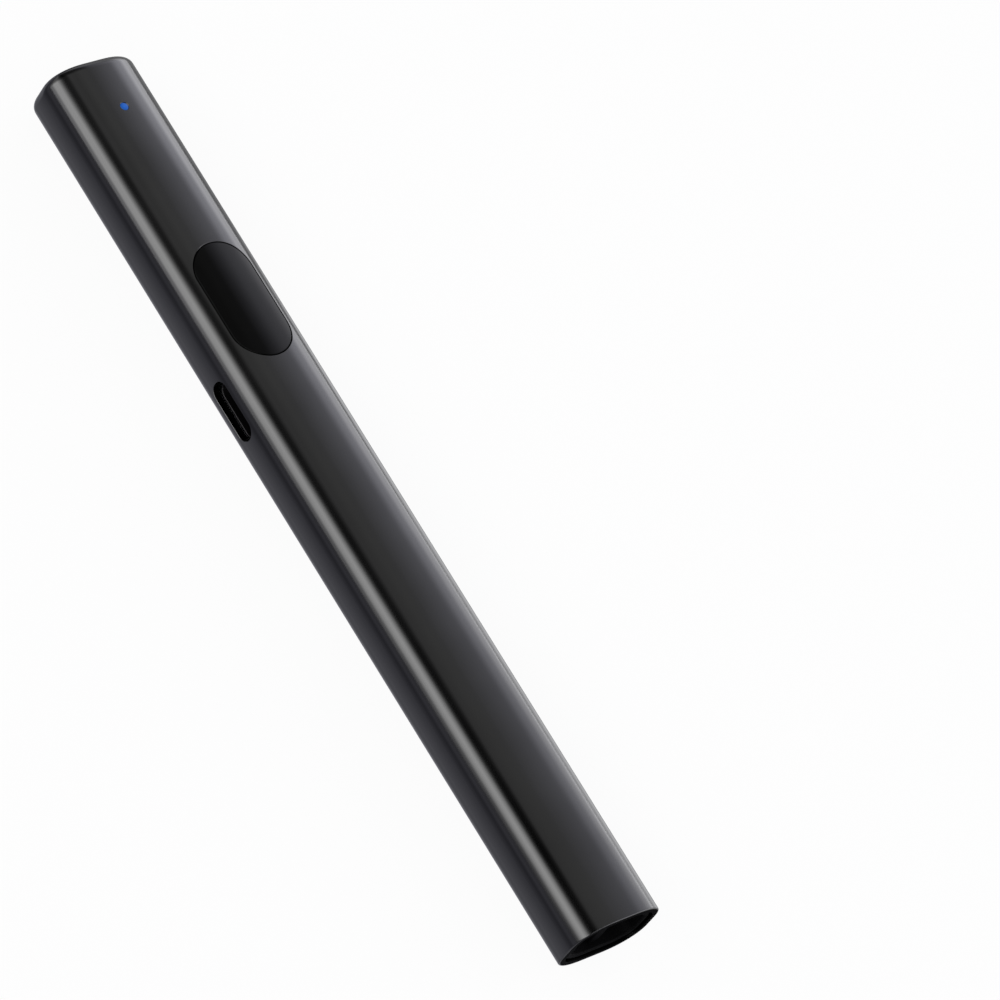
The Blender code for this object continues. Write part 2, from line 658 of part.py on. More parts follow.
def build_lead(name, start, end, diameter, straight, finish_name, carrier):
    """An insulated wire that leaves level, bends down in an S and lands level. Both ends run along X."""
    points = []
    run = end[0] - start[0]
    way = math.copysign(straight, run)
    bend_start = start[0] + way
    bend_end = end[0] - way
    points.append(start)
    for step in range(LEAD_POINTS):
        share = step / (LEAD_POINTS - 1)
        ease = share * share * (3 - 2 * share)
        x = bend_start + (bend_end - bend_start) * share
        y = start[1] + (end[1] - start[1]) * ease
        z = start[2] + (end[2] - start[2]) * ease
        points.append((x, y, z))
    points.append(end)
    curve = bpy.data.curves.new(name, "CURVE")
    curve.dimensions = "3D"
    curve.bevel_depth = diameter / 2
    curve.bevel_resolution = LEAD_ROUND_STEPS
    curve.use_fill_caps = True
    spline = curve.splines.new("POLY")
    spline.points.add(len(points) - 1)
    for target, place in zip(spline.points, points):
        target.co = (*[value - origin for value, origin in zip(place, start)], 1)
    lead = bpy.data.objects.new(name, curve)
    lead.location = start
    bpy.context.scene.collection.objects.link(lead)
    return settle(lead, finish_name, carrier)


def build_laser_leads(carrier):
    """Two wires from the driver board back to the main board."""
    landing_z = BOARD_TOP + SOLDER_GAP + LASER_LEAD_DIAMETER / 2
    start_x = DRIVER_REAR - SOLDER_GAP
    for side, colour in ((1, "red"), (-1, "black")):
        y = side * LASER_LEAD_SPACING / 2
        start = (start_x, y, AXIS_Z)
        end = (BOARD_FRONT - LASER_LEAD_LANDING, y, landing_z)
        name = f"laser_lead_{colour}"
        insulation = f"{colour}_insulation"
        build_lead(name, start, end, LASER_LEAD_DIAMETER, LASER_LEAD_STRAIGHT, insulation, carrier)


def button_ring(grow, height):
    """The button's outline grown by grow, with each point's height worked out from its y."""
    gap = SLIDE_GAP - grow
    outline = stadium(BUTTON_OPENING_LENGTH - 2 * gap, BUTTON_OPENING_WIDTH - 2 * gap)
    return [(BUTTON_X + x, y, height(y)) for x, y in outline]


def build_button_cap(carrier):
    """The oval button: a top that follows the tube, a flange trapped under the wall, a hollow below."""
    flange = BUTTON_FLANGE_WIDTH + SLIDE_GAP
    flange_edge_y = BUTTON_OPENING_WIDTH / 2 + BUTTON_FLANGE_WIDTH
    flange_bottom = roof(flange_edge_y, WALL) - SEAT_GAP - BUTTON_FLANGE_EDGE
    pocket = -BUTTON_RIM_WIDTH
    half_width = BUTTON_OPENING_WIDTH / 2 - SLIDE_GAP
    rings = [button_ring(pocket - half_width / 2, lambda y: roof(y, BUTTON_SKIN))]
    rings += [button_ring(pocket, lambda y: roof(y, BUTTON_SKIN))]
    rings += [button_ring(pocket, lambda y: flange_bottom)]
    rings += [button_ring(flange, lambda y: flange_bottom)]
    rings += [button_ring(flange, lambda y: roof(y, WALL + SEAT_GAP))]
    rings += [button_ring(0, lambda y: roof(y, WALL + SEAT_GAP))]
    for step in range(ROUNDING_STEPS - 1):
        turn = step / (ROUNDING_STEPS - 2) * math.pi / 2
        drop = BUTTON_EDGE_ROUNDING * (1 - math.sin(turn))
        grow = BUTTON_EDGE_ROUNDING * (math.cos(turn) - 1)
        rings.append(button_ring(grow, lambda y, drop=drop: roof(y, drop)))
    for share in BUTTON_CROWN_SHARES:
        rings.append(button_ring(-half_width * share, lambda y: roof(y, 0)))
    cap = add_object("button_cap", loft(rings), (BUTTON_X, 0, AXIS_Z))
    root = BODY_HEIGHT - BUTTON_SKIN + SLIDE_GAP
    stem_end = PLUNGER_TOP + SOLDER_GAP
    stem = rounded_rectangle(BUTTON_STEM_WIDTH, BUTTON_STEM_WIDTH, BUTTON_STEM_CORNER, PLAIN_CORNER_STEPS)
    fuse(cap, prism("button_stem", stem, "Z", stem_end, root, (BUTTON_X, 0, 0)))
    bracket_top = flange_bottom - BUTTON_TRAVEL - SEAT_GAP
    pin_end = bracket_top - BRACKET_THICKNESS - GUIDE_PIN_ENGAGEMENT
    for side, name in ((1, "front"), (-1, "rear")):
        place = (BUTTON_X + side * GUIDE_PIN_SPACING / 2, 0, 0)
        pin = circle(GUIDE_PIN_DIAMETER / 2, PIN_ROUND_STEPS)
        fuse(cap, prism(f"guide_pin_{name}", pin, "Z", pin_end, root, place))
    settle(cap, "gloss_black_plastic", carrier)
    return bracket_top


def build_button_bracket(bracket_top, carrier):
    """The bridge over the switch that guides the button's pins, staked to the board by two pegs."""
    plate_bottom = bracket_top - BRACKET_THICKNESS
    low, high = plate_bottom - OVERRUN, bracket_top + OVERRUN
    bracket_width = BOARD_WIDTH - 2 * BRACKET_SIDE_MARGIN
    plate = rounded_rectangle(BRACKET_LENGTH, bracket_width, BRACKET_LEG_WIDTH / 2)
    bracket = prism("button_bracket", plate, "Z", plate_bottom, bracket_top, (BUTTON_X, 0, 0))
    foot = BOARD_TOP + SOLDER_GAP
    leg_x = (BRACKET_LENGTH - BRACKET_LEG_LENGTH) / 2
    leg_y = (bracket_width - BRACKET_LEG_WIDTH) / 2
    leg_top = bracket_top - BRACKET_THICKNESS / 2
    leg_size = (BRACKET_LEG_LENGTH, BRACKET_LEG_WIDTH, BRACKET_LEG_CORNER)
    leg = rounded_rectangle(*leg_size, PLAIN_CORNER_STEPS)
    for side_x in (1, -1):
        for side_y in (1, -1):
            centre = (BUTTON_X + side_x * leg_x, side_y * leg_y, 0)
            fuse(bracket, prism(f"bracket_leg_{side_x}_{side_y}", leg, "Z", foot, leg_top, centre))
        centre = (BUTTON_X + side_x * leg_x, side_x * leg_y, 0)
        peg = circle(BRACKET_PEG_DIAMETER / 2, PIN_ROUND_STEPS)
        fuse(bracket, prism(f"bracket_peg_{side_x}", peg, "Z", BOARD_BOTTOM, plate_bottom, centre))
        place = (BUTTON_X + side_x * GUIDE_PIN_SPACING / 2, 0, 0)
        hole = circle(GUIDE_PIN_DIAMETER / 2 + SLIDE_GAP, PIN_ROUND_STEPS)
        cut(bracket, prism(f"guide_hole_{side_x}", hole, "Z", low, high, place))
    window = BUTTON_STEM_WIDTH + 2 * SEAT_GAP
    outline = rounded_rectangle(window, window, BUTTON_STEM_CORNER + SEAT_GAP, PLAIN_CORNER_STEPS)
    cut(bracket, prism("stem_window", outline, "Z", low, high, (BUTTON_X, 0, 0)))
    settle(bracket, "frame_plastic", carrier)
    return [(BUTTON_X + side * leg_x, side * leg_y) for side in (1, -1)]


def build_switch(carrier, plunger_carrier):
    """The snap switch: housing with a well, sprung dome, plunger with a flange, and the stamped cover."""
    place = (BUTTON_X, 0, 0)
    outline = rounded_rectangle(SWITCH_WIDTH, SWITCH_WIDTH, SWITCH_CORNER, PLAIN_CORNER_STEPS)
    base = prism("switch_base", outline, "Z", PARTS_Z, SWITCH_TOP, place)
    well = circle(SWITCH_WELL_DIAMETER / 2)
    cut(base, prism("switch_well", well, "Z", SWITCH_WELL_FLOOR, SWITCH_TOP + OVERRUN, place))
    settle(base, "chip_resin", carrier)

    rim = DOME_DIAMETER / 2
    rise = DOME_HEIGHT - DOME_THICKNESS
    outside, inside = [], []
    for step in range(ROUNDING_STEPS + 1):
        share = step / (ROUNDING_STEPS + 1)
        crown = rise * (1 - (1 - share) ** 2)
        inside.append((DOME_BOTTOM + crown, (rim - DOME_THICKNESS) * (1 - share)))
        outside.append((DOME_BOTTOM + crown + DOME_THICKNESS, rim * (1 - share)))
    profile = inside[::-1] + [(DOME_BOTTOM, rim)] + outside
    dome = turned("switch_dome", profile, "Z", (BUTTON_X, 0, 0), SMALL_ROUND_STEPS)
    settle(dome, "stamped_steel", carrier)

    flange_top = PLUNGER_BOTTOM + PLUNGER_FLANGE_THICKNESS
    plunger_profile = [
        (PLUNGER_BOTTOM, PLUNGER_FLANGE_DIAMETER / 2),
        (flange_top, PLUNGER_FLANGE_DIAMETER / 2),
        (flange_top, PLUNGER_DIAMETER / 2),
        (PLUNGER_TOP, PLUNGER_DIAMETER / 2),
    ]
    settle(turned("switch_plunger", plunger_profile, "Z", place), "matte_black_plastic", plunger_carrier)

    cover = prism("switch_cover", outline, "Z", COVER_BOTTOM, COVER_TOP, place)
    hole = circle(SWITCH_COVER_HOLE_DIAMETER / 2)
    cut(cover, prism("cover_hole", hole, "Z", COVER_BOTTOM - OVERRUN, COVER_TOP + OVERRUN, place))
    settle(cover, "stamped_steel", carrier)


def port_leg_places():
    """Centres of the receptacle's four legs, as (x, y)."""
    reach = (PORT_SHELL_WIDTH - PORT_SHELL_WALL) / 2
    rows = (port_mouth() - PORT_LEG_FROM_MOUTH, port_back() + PORT_LEG_FROM_BACK)
    return [(PORT_X + side * reach, y) for side in (1, -1) for y in rows]


def port_mouth():
    """How far out the receptacle's mouth stands: behind the wall, at the slot's upper and lower edge."""
    corner_w = CORNER_WIDTH - WALL
    corner_h = CORNER_HEIGHT - WALL
    over = max(0, PORT_SLOT_HEIGHT / 2 - (BODY_HEIGHT / 2 - CORNER_HEIGHT)) / corner_h
    wall_y = BODY_WIDTH / 2 - CORNER_WIDTH + corner_w * (1 - over**CORNER_POWER) ** (1 / CORNER_POWER)
    return wall_y - SEAT_GAP


def port_back():
    """How far in the receptacle reaches: up to the charger chip, which stands at the board's other edge."""
    return PORT_TO_CHARGER + CHARGER_WIDTH + BOARD_EDGE_MARGIN - BOARD_WIDTH / 2


def build_port(carrier):
    """The charging receptacle: a drawn steel shell with four legs, and its block and tongue."""
    mouth = port_mouth()
    back = port_back()
    centre = (PORT_X, 0, AXIS_Z)
    outline = rounded_rectangle(PORT_SHELL_WIDTH, PORT_SHELL_HEIGHT, PORT_SHELL_CORNER)
    shell = prism("usb_c_shell", outline, "Y", back, mouth, centre)
    inner_w = PORT_SHELL_WIDTH - 2 * PORT_SHELL_WALL
    inner_h = PORT_SHELL_HEIGHT - 2 * PORT_SHELL_WALL
    inner = rounded_rectangle(inner_w, inner_h, PORT_SHELL_CORNER - PORT_SHELL_WALL)
    cut(shell, prism("shell_cavity", inner, "Y", back + PORT_SHELL_WALL, mouth + OVERRUN, centre))
    leg_end = BOARD_BOTTOM - SOLDER_GAP
    for number, (x, y) in enumerate(port_leg_places()):
        low = (x - PORT_SHELL_WALL / 2, y - PORT_LEG_WIDTH / 2, leg_end)
        high = (x + PORT_SHELL_WALL / 2, y + PORT_LEG_WIDTH / 2, AXIS_Z)
        fuse(shell, block(f"shell_leg_{number + 1}", low, high))
    settle(shell, "stamped_steel", carrier)

    block_back = back + PORT_SHELL_WALL + SOLDER_GAP
    block_front = block_back + PORT_BLOCK_DEPTH
    fit = SOLDER_GAP * 2
    corner = PORT_SHELL_CORNER - PORT_SHELL_WALL - SOLDER_GAP
    outline = rounded_rectangle(inner_w - fit, inner_h - fit, corner)
    tongue = prism("usb_c_tongue", outline, "Y", block_back, block_front, centre)
    blade = rectangle(PORT_TONGUE_WIDTH, PORT_TONGUE_THICKNESS)
    tip = mouth - PORT_TONGUE_SETBACK
    fuse(tongue, prism("tongue_blade", blade, "Y", block_front - PORT_BLOCK_DEPTH / 2, tip, centre))
    settle(tongue, "matte_black_plastic", carrier)


def build_board(peg_places, carrier):
    """The main board, with holes for the screws, the bracket's pegs and the receptacle's legs."""
    centre = ((BOARD_FRONT + BOARD_REAR) / 2, 0, 0)
    outline = rounded_rectangle(BOARD_FRONT - BOARD_REAR, BOARD_WIDTH, BOARD_CORNER, PLAIN_CORNER_STEPS)
    board = prism("main_board", outline, "Z", BOARD_BOTTOM, BOARD_TOP, centre)
    low, high = BOARD_BOTTOM - OVERRUN, BOARD_TOP + OVERRUN
    for number, x in enumerate(screw_places()):
        hole = circle(SCREW_DIAMETER / 2 + SCREW_CLEARANCE, PIN_ROUND_STEPS)
        cut(board, prism(f"board_screw_hole_{number + 1}", hole, "Z", low, high, (x, 0, 0)))
    for number, (x, y) in enumerate(peg_places):
        hole = circle(BRACKET_PEG_DIAMETER / 2 + SLIDE_GAP, PIN_ROUND_STEPS)
        cut(board, prism(f"peg_hole_{number + 1}", hole, "Z", low, high, (x, y, 0)))
    for number, (x, y) in enumerate(port_leg_places()):
        slot = rectangle(PORT_SHELL_WALL + 2 * SLIDE_GAP, PORT_LEG_WIDTH + 2 * SLIDE_GAP)
        cut(board, prism(f"leg_slot_{number + 1}", slot, "Z", low, high, (x, y, 0)))
    return settle(board, "black_board", carrier)


def build_chip(name, centre_x, centre_y, size, edge, finish_name, carrier, bottom=PARTS_Z):
    """A soldered component: a block with broken edges."""
    length, width, height = size
    low = (centre_x - length / 2, centre_y - width / 2, bottom)
    high = (centre_x + length / 2, centre_y + width / 2, bottom + height)
    chip = block(name, low, high)
    soften(chip, edge)
    return settle(chip, finish_name, carrier)


def build_board_parts(carrier):
    """Chips, crystal, antenna and capacitors on the main board."""
    board_edge = BOARD_WIDTH / 2 - BOARD_EDGE_MARGIN
    radio_x = BUTTON_X + RADIO_FROM_BUTTON
    radio_size = (RADIO_WIDTH, RADIO_WIDTH, RADIO_HEIGHT)
    build_chip("radio_chip", radio_x, -RADIO_OFFSET, radio_size, CHIP_EDGE, "chip_resin", carrier)
    crystal_size = (CRYSTAL_LENGTH, CRYSTAL_WIDTH, CRYSTAL_HEIGHT)
    crystal_y = board_edge - CRYSTAL_WIDTH / 2
    build_chip("radio_crystal", radio_x, crystal_y, crystal_size, CHIP_EDGE, "stamped_steel", carrier)
    charger_size = (CHARGER_WIDTH, CHARGER_WIDTH, CHARGER_HEIGHT)
    charger_y = CHARGER_WIDTH / 2 - board_edge
    build_chip("charger_chip", PORT_X, charger_y, charger_size, CHIP_EDGE, "chip_resin", carrier)
    antenna_x = BOARD_FRONT - ANTENNA_FROM_BOARD_FRONT
    antenna_y = ANTENNA_WIDTH / 2 - board_edge
    antenna_size = (ANTENNA_LENGTH, ANTENNA_WIDTH, ANTENNA_HEIGHT)
    build_chip("chip_antenna", antenna_x, antenna_y, antenna_size, CHIP_EDGE, "white_ceramic", carrier)
    capacitor_y = CAPACITOR_WIDTH / 2 - board_edge
    capacitor_size = (CAPACITOR_LENGTH, CAPACITOR_WIDTH, CAPACITOR_WIDTH)
    for number in range(CAPACITOR_COUNT):
        x = BUTTON_X + CAPACITOR_PITCH * (number - (CAPACITOR_COUNT - 1) / 2)
        name = f"capacitor_{number + 1}"
        build_chip(name, x, capacitor_y, capacitor_size, CAPACITOR_EDGE, "ceramic", carrier)


def screw_places():
    """Where the two board screws stand along X."""
    return (BOARD_REAR + REAR_SCREW_FROM_BOARD_REAR, BOARD_FRONT - FRONT_SCREW_FROM_BOARD_FRONT)


def build_screws(carrier):
    """The two screws that hold the board to the frame, each with a cross slot."""
    head_top = PARTS_Z + SCREW_HEAD_HEIGHT
    slot_bottom = head_top - SCREW_SLOT_DEPTH
    for name, x in zip(("board_screw_rear", "board_screw_front"), screw_places()):
        profile = [
            (FRAME_BOTTOM + SCREW_TIP_ABOVE_FRAME, SCREW_DIAMETER / 2),
            (PARTS_Z, SCREW_DIAMETER / 2),
            (PARTS_Z, SCREW_HEAD_DIAMETER / 2),
            (head_top, SCREW_HEAD_DIAMETER / 2),
        ]
        screw = turned(name, profile, "Z", (x, 0, 0), PIN_ROUND_STEPS)
        along = rectangle(SCREW_SLOT_LENGTH, SCREW_SLOT_WIDTH)
        across = rectangle(SCREW_SLOT_WIDTH, SCREW_SLOT_LENGTH)
        cut(screw, prism("slot_along", along, "Z", slot_bottom, head_top + OVERRUN, (x, 0, 0)))
        cut(screw, prism("slot_across", across, "Z", slot_bottom, head_top + OVERRUN, (x, 0, 0)))
        settle(screw, "stamped_steel", carrier)


def build_frame(carrier):
    """The moulded frame: a tray that follows the tube, stepped for the cell, the board and the barrel."""
    outline = section(INNER_INSET)
    frame = prism("inner_frame", outline, "X", FRAME_REAR, FRAME_FRONT)
    cell_end = GUARD_FRONT + SEAT_GAP
    barrel_start = BOARD_FRONT + SEAT_GAP
    cell_wall_top = AXIS_Z + FRAME_CELL_WALL_ABOVE_AXIS
    cradle_top = AXIS_Z - FRAME_CRADLE_BELOW_AXIS
    over_top = BODY_HEIGHT + OVERRUN
    wall_end = cell_end - FRAME_END_WALL
    steps = [
        (FRAME_REAR - OVERRUN, cell_wall_top),
        (wall_end, cell_wall_top),
        (wall_end, LEDGE_TOP),
        (barrel_start, LEDGE_TOP),
        (barrel_start, cradle_top),
        (FRAME_FRONT + OVERRUN, cradle_top),
        (FRAME_FRONT + OVERRUN, over_top),
        (FRAME_REAR - OVERRUN, over_top),
    ]
    cut(frame, prism("frame_top_cut", steps, "Y", -BODY_WIDTH, BODY_WIDTH))
    hollow = section(INNER_INSET + FRAME_WALL)
    cut(frame, prism("cell_pocket", hollow, "X", FRAME_REAR + FRAME_END_WALL, cell_end))
    half_board = BOARD_WIDTH / 2 - FRAME_LEDGE_WIDTH
    pocket_start = cell_end + FRAME_END_WALL
    pocket_end = barrel_start - FRAME_END_WALL
    pitch = (pocket_end - pocket_start + FRAME_RIB_THICKNESS) / (FRAME_RIB_COUNT + 1)
    for number in range(FRAME_RIB_COUNT + 1):
        x = pocket_start + pitch * number
        low = (x, -half_board, FRAME_FLOOR_TOP)
        high = (x + pitch - FRAME_RIB_THICKNESS, half_board, over_top)
        cut(frame, block(f"board_pocket_{number + 1}", low, high))
    cradle_rear = BARREL_REAR + CRADLE_FROM_BARREL_REAR
    cradle_front = cradle_rear + CRADLE_LENGTH
    cut(frame, prism("barrel_pocket_rear", hollow, "X", barrel_start - SEAT_GAP, cradle_rear))
    cut(frame, prism("barrel_pocket_front", hollow, "X", cradle_front, FRAME_FRONT + OVERRUN))
    boss_root = FRAME_FLOOR_TOP - FRAME_WALL / 2
    boss_top = LEDGE_TOP - SOLDER_GAP
    hole_bottom = FRAME_BOTTOM + SCREW_TIP_ABOVE_FRAME - SEAT_GAP
    for number, x in enumerate(screw_places()):
        boss = circle(BOSS_DIAMETER / 2, PIN_ROUND_STEPS)
        fuse(frame, prism(f"screw_boss_{number + 1}", boss, "Z", boss_root, boss_top, (x, 0, 0)))
        hole = circle(SCREW_DIAMETER / 2 + SCREW_CLEARANCE, PIN_ROUND_STEPS)
        cut(frame, prism(f"screw_hole_{number + 1}", hole, "Z", hole_bottom, LEDGE_TOP + OVERRUN, (x, 0, 0)))
    trough = circle(BARREL_DIAMETER / 2 + SLIDE_GAP)
    cut(frame, prism("cradle_trough", trough, "X", barrel_start, FRAME_FRONT + OVERRUN, (0, 0, AXIS_Z)))
    return settle(frame, "frame_plastic", carrier)


def build_cell(carrier):
    """The pouch cell with its sealed terrace, the guard board on the terrace, and the foam pad above."""
    centre = (0, 0, CELL_Z)
    rings = []
    for x, inset in (
        (CELL_REAR, CELL_END_ROUNDING),
        (CELL_REAR + CELL_END_ROUNDING, 0),
        (CELL_FRONT - CELL_END_ROUNDING, 0),
        (CELL_FRONT, CELL_END_ROUNDING),
    ):
        outline = rounded_rectangle(CELL_WIDTH - 2 * inset, CELL_THICKNESS - 2 * inset, CELL_CORNER - inset)
        rings.append(lift(outline, "X", x, centre))
    cell = add_object("battery_cell", loft(rings), ((CELL_REAR + CELL_FRONT) / 2, 0, CELL_Z))
    terrace_width = CELL_WIDTH - 2 * TERRACE_SIDE_STEP
    terrace = rectangle(terrace_width, TERRACE_THICKNESS)
    fuse(cell, prism("terrace", terrace, "X", CELL_FRONT - OVERRUN, CELL_FRONT + TERRACE_LENGTH, centre))
    settle(cell, "aluminium_pouch", carrier)

    guard_bottom = CELL_Z + TERRACE_THICKNESS / 2 + SOLDER_GAP
    guard_size = (GUARD_BOARD_LENGTH, terrace_width - 2 * SEAT_GAP, GUARD_BOARD_THICKNESS)
    guard_x = GUARD_FRONT - GUARD_BOARD_LENGTH / 2
    guard_name = "cell_protection_board"
    build_chip(guard_name, guard_x, 0, guard_size, CHIP_EDGE, "black_board", carrier, guard_bottom)

    foam_bottom = CELL_TOP + SOLDER_GAP
    foam_width = CELL_WIDTH - 2 * FOAM_SIDE_MARGIN
    foam_reach = (CELL_FRONT - CELL_REAR) / 2 - FOAM_END_MARGIN
    top = [foam_width * (step / CORNER_STEPS - 1 / 2) for step in range(CORNER_STEPS + 1)]
    outline = [(-foam_width / 2, foam_bottom), (foam_width / 2, foam_bottom)]
    outline += [(y, roof(y, WALL) - SEAT_GAP) for y in reversed(top)]
    middle = (CELL_REAR + CELL_FRONT) / 2
    foam = prism("battery_foam", outline, "X", -foam_reach, foam_reach, (middle, 0, 0))
    settle(foam, "grey_foam", carrier)

    start_z = guard_bottom + GUARD_BOARD_THICKNESS / 2
    landing_z = BOARD_TOP + SOLDER_GAP + CELL_LEAD_DIAMETER / 2
    for side, colour in ((1, "red"), (-1, "black")):
        y = side * CELL_LEAD_SPACING / 2
        start = (GUARD_FRONT + SOLDER_GAP, y, start_z)
        end = (BOARD_REAR + CELL_LEAD_LANDING, y, landing_z)
        name = f"battery_lead_{colour}"
        build_lead(name, start, end, CELL_LEAD_DIAMETER, CELL_LEAD_STRAIGHT, f"{colour}_insulation", carrier)


def strip(path, thickness):
    """The outline of a thin strip along a path, half its thickness to each side."""
    left, right = [], []
    for index, (a, b) in enumerate(path):
        before = path[max(index - 1, 0)]
        after = path[min(index + 1, len(path) - 1)]
        run, rise = after[0] - before[0], after[1] - before[1]
        length = math.hypot(run, rise)
        shift_a, shift_b = -rise / length * thickness / 2, run / length * thickness / 2
        left.append((a + shift_a, b + shift_b))
        right.append((a - shift_a, b - shift_b))
    return left + right[::-1]


def build_status_light(carrier):
    """The light: a film circuit that climbs over the laser barrel, the LED on it, and the light guide."""
    guide_top = BODY_HEIGHT
    flange_top = roof(0, WALL) - SEAT_GAP
    flange_bottom = flange_top - LIGHT_FLANGE_THICKNESS
    led_bottom = flange_bottom - SOLDER_GAP - LED_HEIGHT
    run_z = led_bottom - SOLDER_GAP - FLEX_THICKNESS / 2
    foot_z = PARTS_Z + FLEX_THICKNESS / 2
    riser_x = BOARD_FRONT - FLEX_FOOT_FROM_BOARD_FRONT + FLEX_FOOT_LENGTH
    path = [(riser_x - FLEX_FOOT_LENGTH, foot_z)]
    for centre_x, centre_z, first in (
        (riser_x - FLEX_BEND, foot_z + FLEX_BEND, -math.pi / 2),
        (riser_x + FLEX_BEND, run_z - FLEX_BEND, math.pi),
    ):
        sweep = math.pi / 2 if first < 0 else -math.pi / 2
        for step in range(FINE_CORNER_STEPS + 1):
            turn = first + sweep * step / FINE_CORNER_STEPS
            path.append((centre_x + FLEX_BEND * math.cos(turn), centre_z + FLEX_BEND * math.sin(turn)))
    path.append((LIGHT_X + FLEX_PAST_LED, run_z))
    flex = prism("led_flex", strip(path, FLEX_THICKNESS), "Y", -FLEX_WIDTH / 2, FLEX_WIDTH / 2)
    settle(flex, "polyimide_film", carrier)

    led_size = (LED_LENGTH, LED_WIDTH, LED_HEIGHT)
    build_chip("status_led", LIGHT_X, 0, led_size, CAPACITOR_EDGE, "white_ceramic", carrier, led_bottom)

    guide_profile = [
        (flange_bottom, LIGHT_FLANGE_DIAMETER / 2),
        (flange_top, LIGHT_FLANGE_DIAMETER / 2),
        (flange_top, LIGHT_DIAMETER / 2),
        (guide_top, LIGHT_DIAMETER / 2),
    ]
    guide = turned("led_light_pipe", guide_profile, "Z", (LIGHT_X, 0, 0))
    settle(guide, "blue_light_guide", carrier)


def build_tail_bay(carrier):
    """The bay in the tail: two shelves that guide the stored plug, a back plate and the magnet in it."""
    bay = prism("tail_bay", section(INNER_INSET), "X", BAY_REAR, BAY_FRONT)
    half_gap = PLUG_SHELL_HEIGHT / 2 + SEAT_GAP
    low = (BAY_REAR - OVERRUN, -BODY_WIDTH, AXIS_Z - half_gap)
    cut(bay, block("plug_way", low, (BAY_BACK_REAR, BODY_WIDTH, AXIS_Z + half_gap)))
    for side in (1, -1):
        near, far = side * (BODY_WIDTH / 2 - BAY_SHELF_SIDE), side * BODY_WIDTH
        low = (BAY_REAR - OVERRUN, min(near, far), -OVERRUN)
        high = (BAY_BACK_REAR, max(near, far), BODY_HEIGHT + OVERRUN)
        cut(bay, block(f"shelf_side_{side}", low, high))
    half_w = MAGNET_WIDTH / 2 + SOLDER_GAP
    half_h = MAGNET_HEIGHT / 2 + SOLDER_GAP
    pocket_front = BAY_BACK_REAR + MAGNET_THICKNESS + SOLDER_GAP
    low = (BAY_BACK_REAR - OVERRUN, -half_w, AXIS_Z - half_h)
    cut(bay, block("magnet_pocket", low, (pocket_front, half_w, AXIS_Z + half_h)))
    settle(bay, "frame_plastic", carrier)

    magnet_low = (BAY_BACK_REAR, -MAGNET_WIDTH / 2, AXIS_Z - MAGNET_HEIGHT / 2)
    magnet_high = (BAY_BACK_REAR + MAGNET_THICKNESS, MAGNET_WIDTH / 2, AXIS_Z + MAGNET_HEIGHT / 2)
    magnet = block("receiver_magnet", magnet_low, magnet_high)
    soften(magnet, CHIP_EDGE)
    settle(magnet, "magnet_nickel", carrier)


